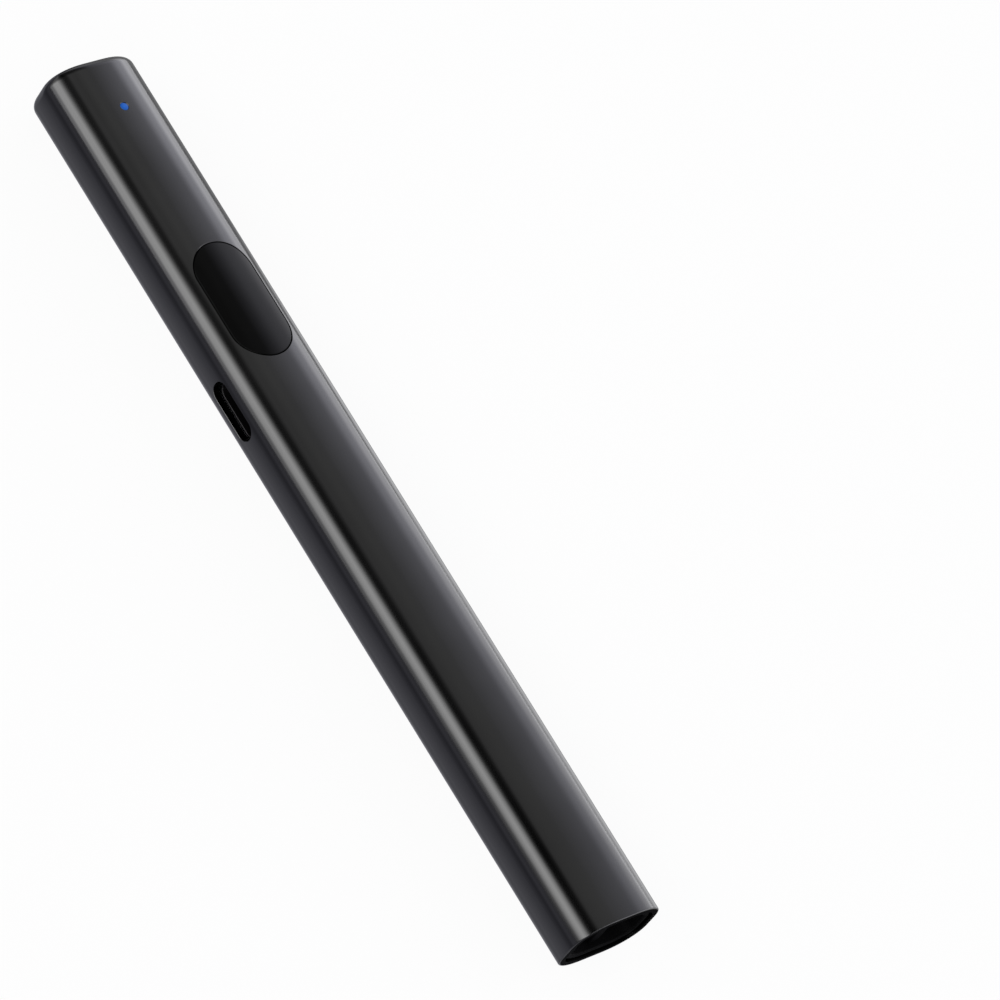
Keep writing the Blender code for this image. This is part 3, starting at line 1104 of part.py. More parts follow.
def build_receiver(carrier):
    """The stored receiver: dished grip with a pull bar, plug shell, board, carrier and chip."""
    cup_inset = GRIP_INSET + GRIP_CUP_WALL
    cup_floor = GRIP_REAR + GRIP_CUP_DEPTH
    stations = [
        (cup_floor, cup_inset),
        (GRIP_REAR + GRIP_EDGE, cup_inset),
        (GRIP_REAR, cup_inset - GRIP_EDGE),
        (GRIP_REAR, GRIP_INSET + GRIP_EDGE),
        (GRIP_REAR + GRIP_EDGE, GRIP_INSET),
        (GRIP_FRONT, GRIP_INSET),
    ]
    rings = [lift(section(inset), "X", x) for x, inset in stations]
    grip = add_object("receiver_grip", loft(rings), (GRIP_REAR, 0, AXIS_Z))
    bar_rear = GRIP_REAR + PULL_BAR_SETBACK
    bar_reach = BODY_HEIGHT / 2 - cup_inset + GRIP_CUP_WALL / 2
    bar_low = (bar_rear, -PULL_BAR_WIDTH / 2, AXIS_Z - bar_reach)
    bar_high = (bar_rear + PULL_BAR_THICKNESS, PULL_BAR_WIDTH / 2, AXIS_Z + bar_reach)
    fuse(grip, block("pull_bar", bar_low, bar_high))
    pocket_reach = RECEIVER_BOARD_WIDTH / 2 + GRIP_POCKET_SIDE_GAP
    pocket_bottom = RECEIVER_BOARD_BOTTOM - SEAT_GAP
    pocket_low = (GRIP_FRONT - GRIP_POCKET_DEPTH, -pocket_reach, pocket_bottom)
    pocket_high = (GRIP_FRONT + OVERRUN, pocket_reach, pocket_bottom + GRIP_POCKET_HEIGHT)
    cut(grip, block("grip_pocket", pocket_low, pocket_high))
    settle(grip, "matte_black_plastic", carrier)

    axis = (0, 0, AXIS_Z)
    inner_w = PLUG_SHELL_WIDTH - 2 * PLUG_SHELL_WALL
    inner_h = PLUG_SHELL_HEIGHT - 2 * PLUG_SHELL_WALL
    inner_corner = PLUG_SHELL_CORNER - PLUG_SHELL_WALL
    outer = rounded_rectangle(PLUG_SHELL_WIDTH, PLUG_SHELL_HEIGHT, PLUG_SHELL_CORNER, PLAIN_CORNER_STEPS)
    inner = rounded_rectangle(inner_w, inner_h, inner_corner, PLAIN_CORNER_STEPS)
    rings = [lift(outer, "X", SHELL_REAR, axis), lift(outer, "X", SHELL_TIP, axis)]
    rings += [lift(inner, "X", SHELL_TIP, axis), lift(inner, "X", SHELL_REAR, axis)]
    shell = add_object("receiver_shell", loft(rings, closed=True), (SHELL_REAR, 0, AXIS_Z))
    window_x = SHELL_TIP - PLUG_WINDOW_FROM_TIP
    for side in (1, -1):
        y = side * PLUG_WINDOW_SPACING / 2
        window = rectangle(PLUG_WINDOW_LENGTH, PLUG_WINDOW_WIDTH)
        reach = PLUG_SHELL_HEIGHT / 2 + OVERRUN
        cut(shell, prism(f"plug_window_{side}", window, "Z", -reach, reach, (window_x, y, AXIS_Z)))
    settle(shell, "stamped_steel", carrier)

    carrier_w = inner_w - 2 * SOLDER_GAP
    low = (SHELL_REAR, -carrier_w / 2, CARRIER_BOTTOM)
    high = (SHELL_TIP - CARRIER_SETBACK, carrier_w / 2, CARRIER_TOP)
    tray = block("receiver_carrier", low, high)
    soften(tray, CHIP_EDGE)
    settle(tray, "matte_black_plastic", carrier)

    board_rear = GRIP_FRONT - GRIP_POCKET_DEPTH + SEAT_GAP
    board_low = (board_rear, -RECEIVER_BOARD_WIDTH / 2, RECEIVER_BOARD_BOTTOM)
    board_high = (SHELL_TIP - RECEIVER_BOARD_SETBACK, RECEIVER_BOARD_WIDTH / 2, RECEIVER_BOARD_TOP)
    settle(block("receiver_board", board_low, board_high), "black_board", carrier)

    chip_size = (RECEIVER_CHIP_LENGTH, RECEIVER_CHIP_WIDTH, RECEIVER_CHIP_HEIGHT)
    chip_x = board_rear + RECEIVER_CHIP_LENGTH / 2 + SEAT_GAP
    chip_z = RECEIVER_BOARD_TOP + SOLDER_GAP
    build_chip("receiver_chip", chip_x, 0, chip_size, CHIP_EDGE, "chip_resin", carrier, chip_z)


def main():
    clear_scene()
    handset = group("handset", (0, 0, 0))
    button = group("button", (BUTTON_X, 0, BODY_HEIGHT))
    plunger = group("plunger", (BUTTON_X, 0, PLUNGER_TOP))
    receiver = group("receiver", (REAR_X, 0, AXIS_Z))
    build_body_tube(handset)
    build_nose_plug(handset)
    build_laser_window(handset)
    build_laser(handset)
    build_laser_leads(handset)
    bracket_top = build_button_cap(button)
    peg_places = build_button_bracket(bracket_top, handset)
    build_switch(handset, plunger)
    build_port(handset)
    build_board(peg_places, handset)
    build_board_parts(handset)
    build_screws(handset)
    build_frame(handset)
    build_cell(handset)
    build_status_light(handset)
    build_tail_bay(handset)
    build_receiver(receiver)


main()
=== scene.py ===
"""Wireless presenter: close-up pieces, finishes, light and camera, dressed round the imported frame.

Row frame: +X towards the light's end, +Y towards the charging slot, +Z towards the button.
Sizes and shapes are in millimetres. A finished mesh is brought to metres as its last step.
"""

import logging
import math
from dataclasses import dataclass, field, replace
from enum import Enum
from typing import Callable, Iterable, Sequence

import bmesh
import bpy
from mathutils import Matrix, Vector

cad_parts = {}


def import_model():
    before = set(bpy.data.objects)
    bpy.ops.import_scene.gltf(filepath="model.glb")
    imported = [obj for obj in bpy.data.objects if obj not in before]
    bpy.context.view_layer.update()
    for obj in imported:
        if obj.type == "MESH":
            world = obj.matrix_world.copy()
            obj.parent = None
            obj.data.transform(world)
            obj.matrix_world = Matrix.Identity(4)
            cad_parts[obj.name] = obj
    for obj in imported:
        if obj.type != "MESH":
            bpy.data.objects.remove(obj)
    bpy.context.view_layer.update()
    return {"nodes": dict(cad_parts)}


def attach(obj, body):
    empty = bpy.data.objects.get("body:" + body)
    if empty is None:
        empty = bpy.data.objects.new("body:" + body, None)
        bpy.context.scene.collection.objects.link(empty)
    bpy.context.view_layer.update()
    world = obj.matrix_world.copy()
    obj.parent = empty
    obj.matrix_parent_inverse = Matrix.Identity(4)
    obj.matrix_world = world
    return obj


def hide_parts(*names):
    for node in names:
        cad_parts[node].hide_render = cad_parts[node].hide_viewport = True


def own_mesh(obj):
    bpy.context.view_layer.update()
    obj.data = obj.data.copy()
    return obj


Shape = bmesh.types.BMesh
Tree = bpy.types.NodeTree
Socket = bpy.types.NodeSocket
Place = Sequence[float]
Height = Callable[[float], float]
Pairs = Sequence[tuple[float, float]]
Corner = tuple[float, float, float]

LOG = logging.getLogger("presenter")
# Millimetres to metres
METRES = 0.001
# Points closer than this become one
WELD = 0.0004
# A cutter runs this far past what it cuts
OVERRUN = 1.0
# Edges that turn further than this stay sharp
SHARP_ANGLE = math.radians(32)
# A face looks a given way when its normal's share of that way is above this
FACING = 0.7
# The part of a noise that its whole effect is drawn from
NOISE_RANGE = {"From Min": 0.3, "From Max": 0.7}
# No gloss is smoother than this roughness
SMOOTHEST = 0.02


class Carrier(Enum):
    """The bodies that new pieces ride on."""

    HANDSET = "handset"
    BUTTON = "button"
    RECEIVER = "receiver"


class Along(Enum):
    """The axis that a shape is drawn along, as turns of (across, up, along) to the row frame."""

    X = ((0, 0, 1), (1, 0, 0), (0, 1, 0))
    Y = ((1, 0, 0), (0, 0, 1), (0, 1, 0))
    Z = ((1, 0, 0), (0, 1, 0), (0, 0, 1))

    def matrix(self, centre: Place) -> Matrix:
        """Gives the placing matrix with its origin at centre."""
        return Matrix.Translation(Vector(centre)) @ Matrix(self.value).to_4x4()


class Joining(Enum):
    """What one shape does to another."""

    CUT = "DIFFERENCE"
    FUSE = "UNION"


class Grain(Enum):
    """The fine structure that a way of making leaves, as a texture node and its settings."""

    BLASTED = ("TexNoise", {"Detail": 3.0, "Roughness": 0.6})
    MOULDED = ("TexNoise", {"Detail": 2.0, "Roughness": 0.5})
    ROLLED = ("TexNoise", {"Detail": 4.0, "Roughness": 0.55})
    TURNED = ("TexWave", {"bands_direction": "X", "Distortion": 0.6, "Detail": 2.0})
    CRINKLED = ("TexNoise", {"Detail": 5.0, "Roughness": 0.5, "Distortion": 1.4})
    CELLULAR = ("TexVoronoi", {"feature": "SMOOTH_F1", "Smoothness": 0.3})
    TRACED = ("TexBrick", {"Mortar Size": 0.09, "Mortar Smooth": 0.3, "offset": 0.35})


# ---------------------------------------------------------------- materials


def linear(colour: str) -> tuple[float, float, float, float]:
    """Turns an sRGB hex colour to linear light.

    Args:
        colour: six hex digits after a hash sign.

    Returns:
        Red, green, blue and full opacity.
    """
    shares = [int(colour[i : i + 2], 16) / 255 for i in (1, 3, 5)]
    red, green, blue = (s / 12.92 if s <= 0.04045 else ((s + 0.055) / 1.055) ** 2.4 for s in shares)
    return red, green, blue, 1.0


def cleared(owner: bpy.types.Material | bpy.types.World) -> Tree:
    """Gives a material or world an empty node tree.

    Args:
        owner: the material or world.

    Returns:
        The tree.
    """
    owner.use_nodes = True
    owner.node_tree.nodes.clear()
    return owner.node_tree


def add_node(
    tree: Tree, kind: str, settings: dict | None = None, links: dict | None = None
) -> bpy.types.Node:
    """Adds a shader node with its settings and the links that run into it.

    Args:
        tree: the node tree that it goes into.
        kind: the node's type without its common prefix.
        settings: values by attribute name, input name or input number, and a ramp's stops.
        links: outputs of other nodes, by input name or number.

    Returns:
        The node.
    """
    node = tree.nodes.new("ShaderNode" + kind)
    for key, value in (settings or {}).items():
        if key == "stops":
            elements = node.color_ramp.elements
            elements.remove(elements[-1])
            for number, (position, colour) in enumerate(value):
                element = elements.new(position) if number else elements[0]
                element.position, element.color = position, (*colour, 1.0)
        elif isinstance(key, str) and hasattr(node, key):
            setattr(node, key, value)
        else:
            node.inputs[key].default_value = value
    for key, socket in (links or {}).items():
        tree.links.new(socket, node.inputs[key])
    return node


@dataclass(frozen=True)
class Finish:
    """One real material and the way its surface was made.

    The surface mottles between two close colours, its gloss varies a little with a broader noise,
    and its grain stands up by its relief. Sizes and relief are in millimetres. The slot names the
    finish, and is not used.
    """

    name: str
    colour: str
    second: str
    roughness: float
    slot: str = ""
    metallic: float = 0.0
    ior: float = 1.5
    gloss_change: float = 0.05
    grain: Grain = Grain.MOULDED
    grain_size: float = 0.3
    stretch: tuple[float, float, float] = (1.0, 1.0, 1.0)
    relief: float = 0.01
    patch_size: float = 6.0
    more: tuple[tuple[str, float], ...] = ()

    def material(self) -> bpy.types.Material:
        """Builds the material once.

        Returns:
            The material.
        """
        found = bpy.data.materials.get(self.name)
        if found:
            return found
        made = bpy.data.materials.new(self.name)
        tree = cleared(made)
        place = add_node(tree, "TexCoord").outputs["Object"]
        height = self.grain_height(tree, place)
        noise = {"Scale": 1 / (self.patch_size * METRES), "Detail": 2.0}
        patches = add_node(tree, "TexNoise", noise, {"Vector": place}).outputs[0]
        low, high = self.roughness - self.gloss_change, self.roughness + self.gloss_change
        gloss = {"To Min": max(low, SMOOTHEST), "To Max": high, **NOISE_RANGE}
        links = {
            "Roughness": add_node(tree, "MapRange", gloss, {"Value": patches}).outputs[0],
            "Base Color": self.paint(tree, height, patches),
            **self.glow(tree, place),
        }
        if self.relief > 0:
            bump = {"Strength": 1.0, "Distance": self.relief * METRES}
            links["Normal"] = add_node(tree, "Bump", bump, {"Height": height}).outputs[0]
        settings = {"Metallic": self.metallic, "IOR": self.ior, **dict(self.more)}
        shader = add_node(tree, "BsdfPrincipled", settings, links)
        add_node(tree, "OutputMaterial", {}, {"Surface": shader.outputs[0]})
        return made

    def grain_height(self, tree: Tree, place: Socket) -> Socket:
        """Adds the grain's texture.

        Args:
            tree: the material's nodes.
            place: the coordinates.

        Returns:
            The grain's height, from 0 to 1.
        """
        kind, settings = self.grain.value
        placed = add_node(tree, "Mapping", {"Scale": self.stretch}, {"Vector": place}).outputs[0]
        scale = {"Scale": 1 / (self.grain_size * METRES)}
        node = add_node(tree, kind, {**settings, **scale}, {"Vector": placed})
        return node.outputs["Fac" if "Fac" in node.outputs else 0]

    def paint(self, tree: Tree, height: Socket, patches: Socket) -> Socket:
        """Mottles the two colours, half by the grain and half by the broad patches.

        Args:
            tree: the material's nodes.
            height: the grain's height.
            patches: the broad noise.

        Returns:
            The colour.
        """
        share = add_node(tree, "Mix", {"data_type": "FLOAT", 0: 0.5}, {2: height, 3: patches})
        share = add_node(tree, "MapRange", NOISE_RANGE, {"Value": share.outputs[0]})
        colours = {"data_type": "RGBA", 6: linear(self.colour), 7: linear(self.second)}
        return add_node(tree, "Mix", colours, {0: share.outputs[0]}).outputs[2]

    def glow(self, tree: Tree, place: Socket) -> dict[str, Socket]:
        """Gives a lit finish its glow, by the shader's input. This one is unlit."""
        return {}


@dataclass(frozen=True)
class LitGuide(Finish):
    """A light guide whose end glows, brightest in its centre and dimmer at its reach."""

    centre: tuple[float, float, float] = (0.0, 0.0, 0.0)
    reach: float = 0.62
    core: str = "#1963c7"
    rim: str = "#1754a8"

    def glow(self, tree: Tree, place: Socket) -> dict[str, Socket]:
        """Adds the glow.

        Args:
            tree: the material's nodes.
            place: the coordinates.

        Returns:
            The glow's colour by the shader's input.
        """
        shift = {"Location": [-c * METRES for c in self.centre]}
        centred = add_node(tree, "Mapping", shift, {"Vector": place})
        distance = add_node(tree, "VectorMath", {"operation": "LENGTH"}, {0: centred.outputs[0]})
        spread = {"From Max": self.reach * METRES, "interpolation_type": "SMOOTHSTEP"}
        share = add_node(tree, "MapRange", spread, {"Value": distance.outputs["Value"]})
        colours = {"data_type": "RGBA", 6: linear(self.core), 7: linear(self.rim)}
        return {"Emission Color": add_node(tree, "Mix", colours, {0: share.outputs[0]}).outputs[2]}


# Dyed anodised aluminium, bead-blasted: a fine satin grain. 0.05 mm in truth, 0.12 here to show.
BLACK_ANODISED = Finish(
    "black_anodised_aluminium", "#494949", "#4d4d4d", 0.16, slot="black_anodised", metallic=1.0,
    gloss_change=0.015, grain=Grain.BLASTED, grain_size=0.12, relief=0.0006, patch_size=9.0,
)
# The tube's sawn end face, in a near-black dull copy of its finish: painted shade,
# so that the end stays dark seen at a slant.
SAWN_END_PAINTED_SHADE = Finish(
    "sawn_end_painted_shade", "#0b0b0c", "#101011", 0.6, ior=1.05, grain=Grain.BLASTED,
    grain_size=0.12, relief=0.002, patch_size=3.0,
)
# Polished polycarbonate: a deep black gloss, with the faint haze that thumbs leave.
GLOSS_BLACK = Finish(
    "gloss_black_polycarbonate", "#020202", "#040404", 0.12, slot="gloss_black_plastic", ior=1.2,
    gloss_change=0.02, grain_size=1.6, relief=0.0, patch_size=3.0,
)
# ABS moulded in a spark-eroded tool: a dull black with a pebbled skin, made near black
# so that the grip's cup reads as deep shade: partly its own black, partly painted shade.
MATTE_BLACK = Finish(
    "spark_textured_black_abs", "#050506", "#0a0a0b", 0.6, slot="matte_black_plastic", ior=1.12,
    grain_size=0.16, relief=0.006, patch_size=4.0,
)
# The same ABS polished by the fingers, on the grip's outer skin: a satin black that catches the
# light, and lighter than the matte copy, which keeps the cup inside in painted shade.
SATIN_BLACK = Finish(
    "satin_black_abs", "#121213", "#18181a", 0.36, ior=1.46, gloss_change=0.04, grain_size=0.16,
    relief=0.002, patch_size=3.0,
)
# Light-guide acrylic, lit from below: a saturated blue, paler over the chip.
BLUE_GUIDE = LitGuide(
    "lit_blue_acrylic", "#0b2048", "#0e2854", 0.2, slot="blue_light_guide", ior=1.3,
    gloss_change=0.02, grain_size=0.2, relief=0.0004, more=(("Emission Strength", 0.8),),
)
# Glass-filled nylon: dark grey with paler fibre flecks along the flow.
FRAME_NYLON = Finish(
    "glass_filled_nylon", "#47474a", "#5c5c60", 0.5, ior=1.53, grain=Grain.ROLLED, grain_size=0.5,
    stretch=(0.25, 1.0, 1.0), relief=0.004,
)
# Stainless strip, rolled and stamped: fine lines along the strip.
STAMPED_STEEL = Finish(
    "stamped_stainless_steel", "#b6b6b8", "#c4c4c5", 0.28, slot="stamped_steel", metallic=1.0,
    grain=Grain.ROLLED, grain_size=0.25, stretch=(1.0, 0.08, 1.0), relief=0.0015,
)
# The same strip with a black nickel plate, for the receptacle's mouth: a dark smoky metal.
BLACK_NICKEL = replace(
    STAMPED_STEEL, name="black_nickel_plated_steel", colour="#2c2b2c", second="#353435",
    roughness=0.42, relief=0.001,
)
# Brass turned on a lathe and nickel plated: warm, with faint rings from the tool.
NICKEL_BRASS = Finish(
    "nickel_plated_brass", "#cfc6b4", "#dad2c2", 0.24, slot="nickel_plated_brass", metallic=1.0,
    grain=Grain.TURNED, grain_size=0.2, relief=0.001,
)
# Hard gold flash over nickel on contacts: a warm yellow mirror, slightly pitted.
GOLD_FLASH = Finish(
    "hard_gold_flash", "#e2b75e", "#ecc676", 0.22, slot="gold_plating", metallic=1.0,
    grain=Grain.BLASTED, grain_size=0.12, relief=0.0006,
)
# Epoxy board under black solder mask: satin, with buried tracks that stand up a little.
BLACK_BOARD = Finish(
    "solder_masked_board", "#141716", "#222826", 0.4, slot="black_board", ior=1.52,
    grain=Grain.TRACED, grain_size=1.4, relief=0.02, patch_size=2.5,
)
# Filled epoxy package resin: charcoal, dull, with a fine grit.
CHIP_RESIN = Finish(
    "epoxy_package_resin", "#262627", "#2f2f31", 0.52, ior=1.55, grain=Grain.BLASTED,
    grain_size=0.1, relief=0.003,
)
# Fired dielectric of a chip capacitor: a matt tan.
TAN_CERAMIC = Finish(
    "fired_tan_ceramic", "#c3a782", "#cfb58f", 0.45, ior=1.6, grain=Grain.BLASTED,
    grain_size=0.12, relief=0.002,
)
# Glazed alumina: a clean white with a soft sheen.
WHITE_CERAMIC = Finish(
    "glazed_white_alumina", "#e4e2da", "#eeece6", 0.32, ior=1.65, grain_size=0.4, relief=0.001
)
# Aluminium laminate pouch: soft silver with crinkles from the vacuum seal.
CELL_POUCH = Finish(
    "aluminium_laminate_pouch", "#c9cacd", "#d6d7d9", 0.34, metallic=1.0, grain=Grain.CRINKLED,
    grain_size=2.2, stretch=(0.5, 1.0, 1.0), relief=0.06,
)
# Polyimide film over copper: translucent amber brown, with tracks under it.
AMBER_FILM = Finish(
    "polyimide_film_circuit", "#a8641c", "#c47a2a", 0.32, ior=1.7, grain=Grain.TRACED,
    grain_size=1.0, stretch=(0.4, 1.5, 1.0), relief=0.006,
)
# Open-cell polyurethane foam: dark grey pores.
CELL_FOAM = Finish(
    "open_cell_foam", "#37373a", "#58585c", 0.95, gloss_change=0.03, grain=Grain.CELLULAR,
    grain_size=0.5, relief=0.12,
)
# Silicone wire insulation, red and black: smooth, rubbery and slightly dusty.
RED_SILICONE = Finish(
    "red_silicone_insulation", "#b01e18", "#bd2a22", 0.45, ior=1.41, grain_size=0.2, relief=0.002
)
BLACK_SILICONE = replace(
    RED_SILICONE, name="black_silicone_insulation", colour="#1a1a1a", second="#222223"
)
# Neodymium magnet in bright nickel: a tumbled mirror.
MAGNET_NICKEL = Finish(
    "bright_nickel_plate", "#b9b7b1", "#c6c4be", 0.18, metallic=1.0, grain=Grain.BLASTED,
    relief=0.001,
)
# Coated glass and lens plastic: clear, with a trace of green at its edges.
CLEAR_OPTIC = Finish(
    "coated_optical_glass", "#eef6f2", "#f6faf8", 0.04, slot="clear_optic", ior=1.52,
    gloss_change=0.01, grain_size=2.0, relief=0.0, patch_size=2.0,
    more=(("Transmission Weight", 1.0), ("Coat Weight", 0.3)),
)


# ------------------------------------------------------------------- shapes


@dataclass(frozen=True)
class Outline:
    """A rounded rectangle, which reaches to a stadium or a circle as its corners grow.

    A corner has its own size along the length and along the width. Its power is 2 for an ellipse.
    """

    length: float
    width: float
    corner: tuple[float, float]
    steps: int
    power: float = 2.0

    def start(self, shape: Shape) -> bmesh.types.BMFace:
        """Adds the outline to an empty shape, level and round the origin.

        Args:
            shape: the shape.

        Returns:
            The face inside the outline.
        """
        stretch = self.corner[0] / self.corner[1]
        bmesh.ops.create_grid(shape, x_segments=1, y_segments=1, size=0.5)
        bmesh.ops.scale(shape, vec=(self.length, self.width * stretch, 1), verts=shape.verts[:])
        bmesh.ops.bevel(
            shape, geom=shape.verts[:], offset=self.corner[0], offset_type="OFFSET",
            segments=self.steps, profile=2 ** (-2 / self.power), affect="VERTICES", material=-1,
        )
        bmesh.ops.scale(shape, vec=(1, 1 / stretch, 1), verts=shape.verts[:])
        return shape.faces[:][0]

    def moved(self, point: Vector, now: float, then: float) -> Vector:
        """Moves a point of the outline grown by one amount to the outline grown by another.

        Args:
            point: the point.
            now: the growth that it lies on.
            then: the growth that it goes to.

        Returns:
            The new place.
        """
        new = point.copy()
        for axis, size in enumerate((self.length, self.width)):
            straight = size / 2 - self.corner[axis]
            ratio = (self.corner[axis] + then) / (self.corner[axis] + now)
            over = (abs(point[axis]) - straight) * ratio
            new[axis] = math.copysign(straight + over, point[axis])
        return new

    def swept(
        self,
        stations: Sequence[tuple[float | Height, float]],
        along: Along,
        centre: Place,
        closed: bool = False,
    ) -> Shape:
        """Extrudes the outline from station to station.

        Args:
            stations: pairs of place along the axis and growth. A place may be a function of the
                distance across, so that a ring follows a curved skin.
            along: the axis.
            centre: where the outline's middle stands.
            closed: joins the last station to the first. Otherwise both ends are filled.

        Returns:
            The shape.
        """
        shape = bmesh.new()
        face = self.start(shape)
        edges, points, now = list(face.edges), list(face.verts), 0.0
        if closed:
            bmesh.ops.delete(shape, geom=[face], context="FACES_ONLY")
        for number, (place, grow) in enumerate([*stations, *(stations[:1] if closed else ())]):
            if number:
                made = bmesh.ops.extrude_edge_only(shape, edges=edges)["geom"]
                points = [part for part in made if isinstance(part, bmesh.types.BMVert)]
                kept = set(points)
                edges = [
                    part for part in made
                    if isinstance(part, bmesh.types.BMEdge) and kept.issuperset(part.verts)
                ]
            for point in points:
                point.co = self.moved(point.co, now, grow)
                point.co.z = place(point.co.y) if callable(place) else place
            now = grow
        if not closed:
            bmesh.ops.edgeloop_fill(shape, edges=edges)
        return settled(shape, along, centre, WELD)


def settled(shape: Shape, along: Along, centre: Place, weld: float) -> Shape:
    """Welds a shape drawn round the origin, moves it to its place and turns its faces outwards.

    Args:
        shape: the shape.
        along: the axis that it was drawn along.
        centre: where its origin goes.
        weld: how close points become one.

    Returns:
        The same shape.
    """
    bmesh.ops.remove_doubles(shape, verts=shape.verts[:], dist=weld)
    bmesh.ops.transform(shape, matrix=along.matrix(centre), verts=shape.verts[:])
    bmesh.ops.recalc_face_normals(shape, faces=shape.faces[:])
    return shape


def to_mesh(shape: Shape, name: str) -> bpy.types.Mesh:
    """Turns a shape to a mesh.

    Args:
        shape: the shape. It is used up.
        name: the mesh's name.

    Returns:
        The mesh.
    """
    mesh = bpy.data.meshes.new(name)
    shape.to_mesh(mesh)
    shape.free()
    return mesh


def put_in_scene(name: str, data: bpy.types.ID) -> bpy.types.Object:
    """Makes an object of a mesh or a camera.

    Args:
        name: the object's name.
        data: what it shows.

    Returns:
        The object.
    """
    made = bpy.data.objects.new(name, data)
    bpy.context.scene.collection.objects.link(made)
    return made


def rounded(length: float, width: float, corner: float, steps: int) -> Outline:
    """Gives an outline with round corners. A corner stays a hair under half the width."""
    corner = min(corner, width / 2 - 2 * WELD, length / 2 - 2 * WELD)
    return Outline(length, width, (corner, corner), steps)


@dataclass(frozen=True)
class TubeSection(Outline):
    """The handset's section, whose corners are superelliptic. A negative growth draws it in."""

    length: float = 15.0
    width: float = 10.8
    corner: tuple[float, float] = (6.0, 4.4)
    steps: int = 28
    power: float = 2.26
    crown: float = 0.035

    @property
    def axis(self) -> float:
        """Height of the tube's axis."""
        return self.width / 2

    def share(self, distance: float, inset: float, way: int) -> float:
        """How far round a corner a point is, 0 to 1, by its distance from the flat's middle."""
        straight = (self.length, self.width)[way] / 2 - self.corner[way]
        return min(max(abs(distance) - straight, 0.0) / (self.corner[way] - inset), 1.0)

    def fall(self, distance: float, inset: float, way: int) -> float:
        """How far a corner has fallen away from the upper flat, with way 0, or the side, with 1."""
        share = self.share(distance, inset, way)
        return (self.corner[1 - way] - inset) * (1 - (1 - share**self.power) ** (1 / self.power))

    def roof(self, y: float, inset: float = 0.0) -> float:
        """Height of the upper side at y, for the section drawn in by inset."""
        return self.width - inset - self.fall(y, inset, 0)

    def side(self, rise: float) -> float:
        """How far out the side stands at a rise above or below the axis."""
        return self.length / 2 - self.fall(rise, 0.0, 1)

    def normal(self, y: float, z: float, inset: float) -> Vector:
        """The outward direction of the section's skin, with a slight crown across its flats.

        Args:
            y: place across the tube.
            z: height.
            inset: how far the section is drawn in there.

        Returns:
            The direction, across the tube.
        """
        leans = []
        for way, place in enumerate((y, z - self.axis)):
            lean = self.share(place, inset, way) ** (self.power - 1) / (self.corner[way] - inset)
            leans.append(math.copysign(lean, place))
        direction = Vector((0.0, *leans)).normalized()
        straight = self.length / 2 - self.corner[0]
        direction.y += self.crown * max(-1.0, min(1.0, y / straight)) * abs(direction.z)
        return direction.normalized()


def turned(
    profile: Pairs, along: Along, centre: Place, closed: bool = False, steps: int = 48
) -> Shape:
    """Turns a profile about an axis, as on a lathe.

    Args:
        profile: pairs of place along the axis and radius.
        along: the axis.
        centre: a point on the axis.
        closed: joins the last point to the first, for a ring.
        steps: faces round the turn.

    Returns:
        The shape.
    """
    shape = bmesh.new()
    points = [shape.verts.new((radius, 0, at)) for at, radius in profile]
    pairs = list(zip(points, points[1:])) + ([(points[-1], points[0])] if closed else [])
    edges = [shape.edges.new(pair) for pair in pairs]
    bmesh.ops.spin(
        shape, geom=[*points, *edges], cent=(0, 0, 0), axis=(0, 0, 1), angle=math.tau, steps=steps,
        use_merge=True,
    )
    return settled(shape, along, centre, WELD / 4)


def block(low: Place, high: Place, edge: float = 0.0, segments: int = 2) -> Shape:
    """Makes a block between two corners, with its edges rounded.

    Args:
        low: its lowest corner.
        high: its highest corner.
        edge: the width of the rounding.
        segments: faces across the rounding.

    Returns:
        The shape.
    """
    shape = bmesh.new()
    bmesh.ops.create_cube(shape, size=1)
    size = [far - near for near, far in zip(low, high)]
    middle = [(far + near) / 2 for near, far in zip(low, high)]
    bmesh.ops.scale(shape, vec=size, verts=shape.verts[:])
    bmesh.ops.translate(shape, vec=middle, verts=shape.verts[:])
    if edge > 0:
        bmesh.ops.bevel(
            shape, geom=shape.edges[:], offset=edge, offset_type="OFFSET", segments=segments,
            profile=0.5, affect="EDGES", material=-1,
        )
    return shape


def combine(base: Shape, tool: Shape, how: Joining) -> Shape:
    """Cuts one shape with another, or fuses them.

    Args:
        base: the shape that is worked on. It is used up.
        tool: the other shape. It is used up.
        how: what the tool does.

    Returns:
        The new shape.
    """
    blanks = [put_in_scene("blank", to_mesh(shape, "blank")) for shape in (base, tool)]
    boolean = blanks[0].modifiers.new("Joining", "BOOLEAN")
    boolean.object, boolean.operation, boolean.solver = blanks[1], how.value, "EXACT"
    result = bmesh.new()
    result.from_object(blanks[0], bpy.context.evaluated_depsgraph_get())
    for blank in blanks:
        bpy.data.meshes.remove(blank.data)
    bmesh.ops.dissolve_degenerate(result, dist=WELD / 4, edges=result.edges[:])
    return result


def gather(parts: Iterable[Shape]) -> Shape:
    """Puts separate parts into one shape.

    Args:
        parts: the parts. They are used up.

    Returns:
        The shape.
    """
    whole = bmesh.new()
    for part in parts:
        mesh = to_mesh(part, "part")
        whole.from_mesh(mesh)
        bpy.data.meshes.remove(mesh)
    return whole


def arc(place: float, size: float, reach: float, rise: float, steps: int) -> Pairs:
    """Gives stations on a quarter ellipse: along by its reach, and in or out by its rise."""
    turns = [step / steps * math.pi / 2 for step in range(steps + 1)]
    return [(place + reach * math.sin(turn), size + rise * (1 - math.cos(turn))) for turn in turns]


def broken(place: float, size: float, edge: float, way: int = 1) -> Pairs:
    """Breaks an end's edge with a chamfer. The way is 1 at a front end and -1 at a rear end."""
    return [(place - way * edge, size), (place, size - edge)][::way]


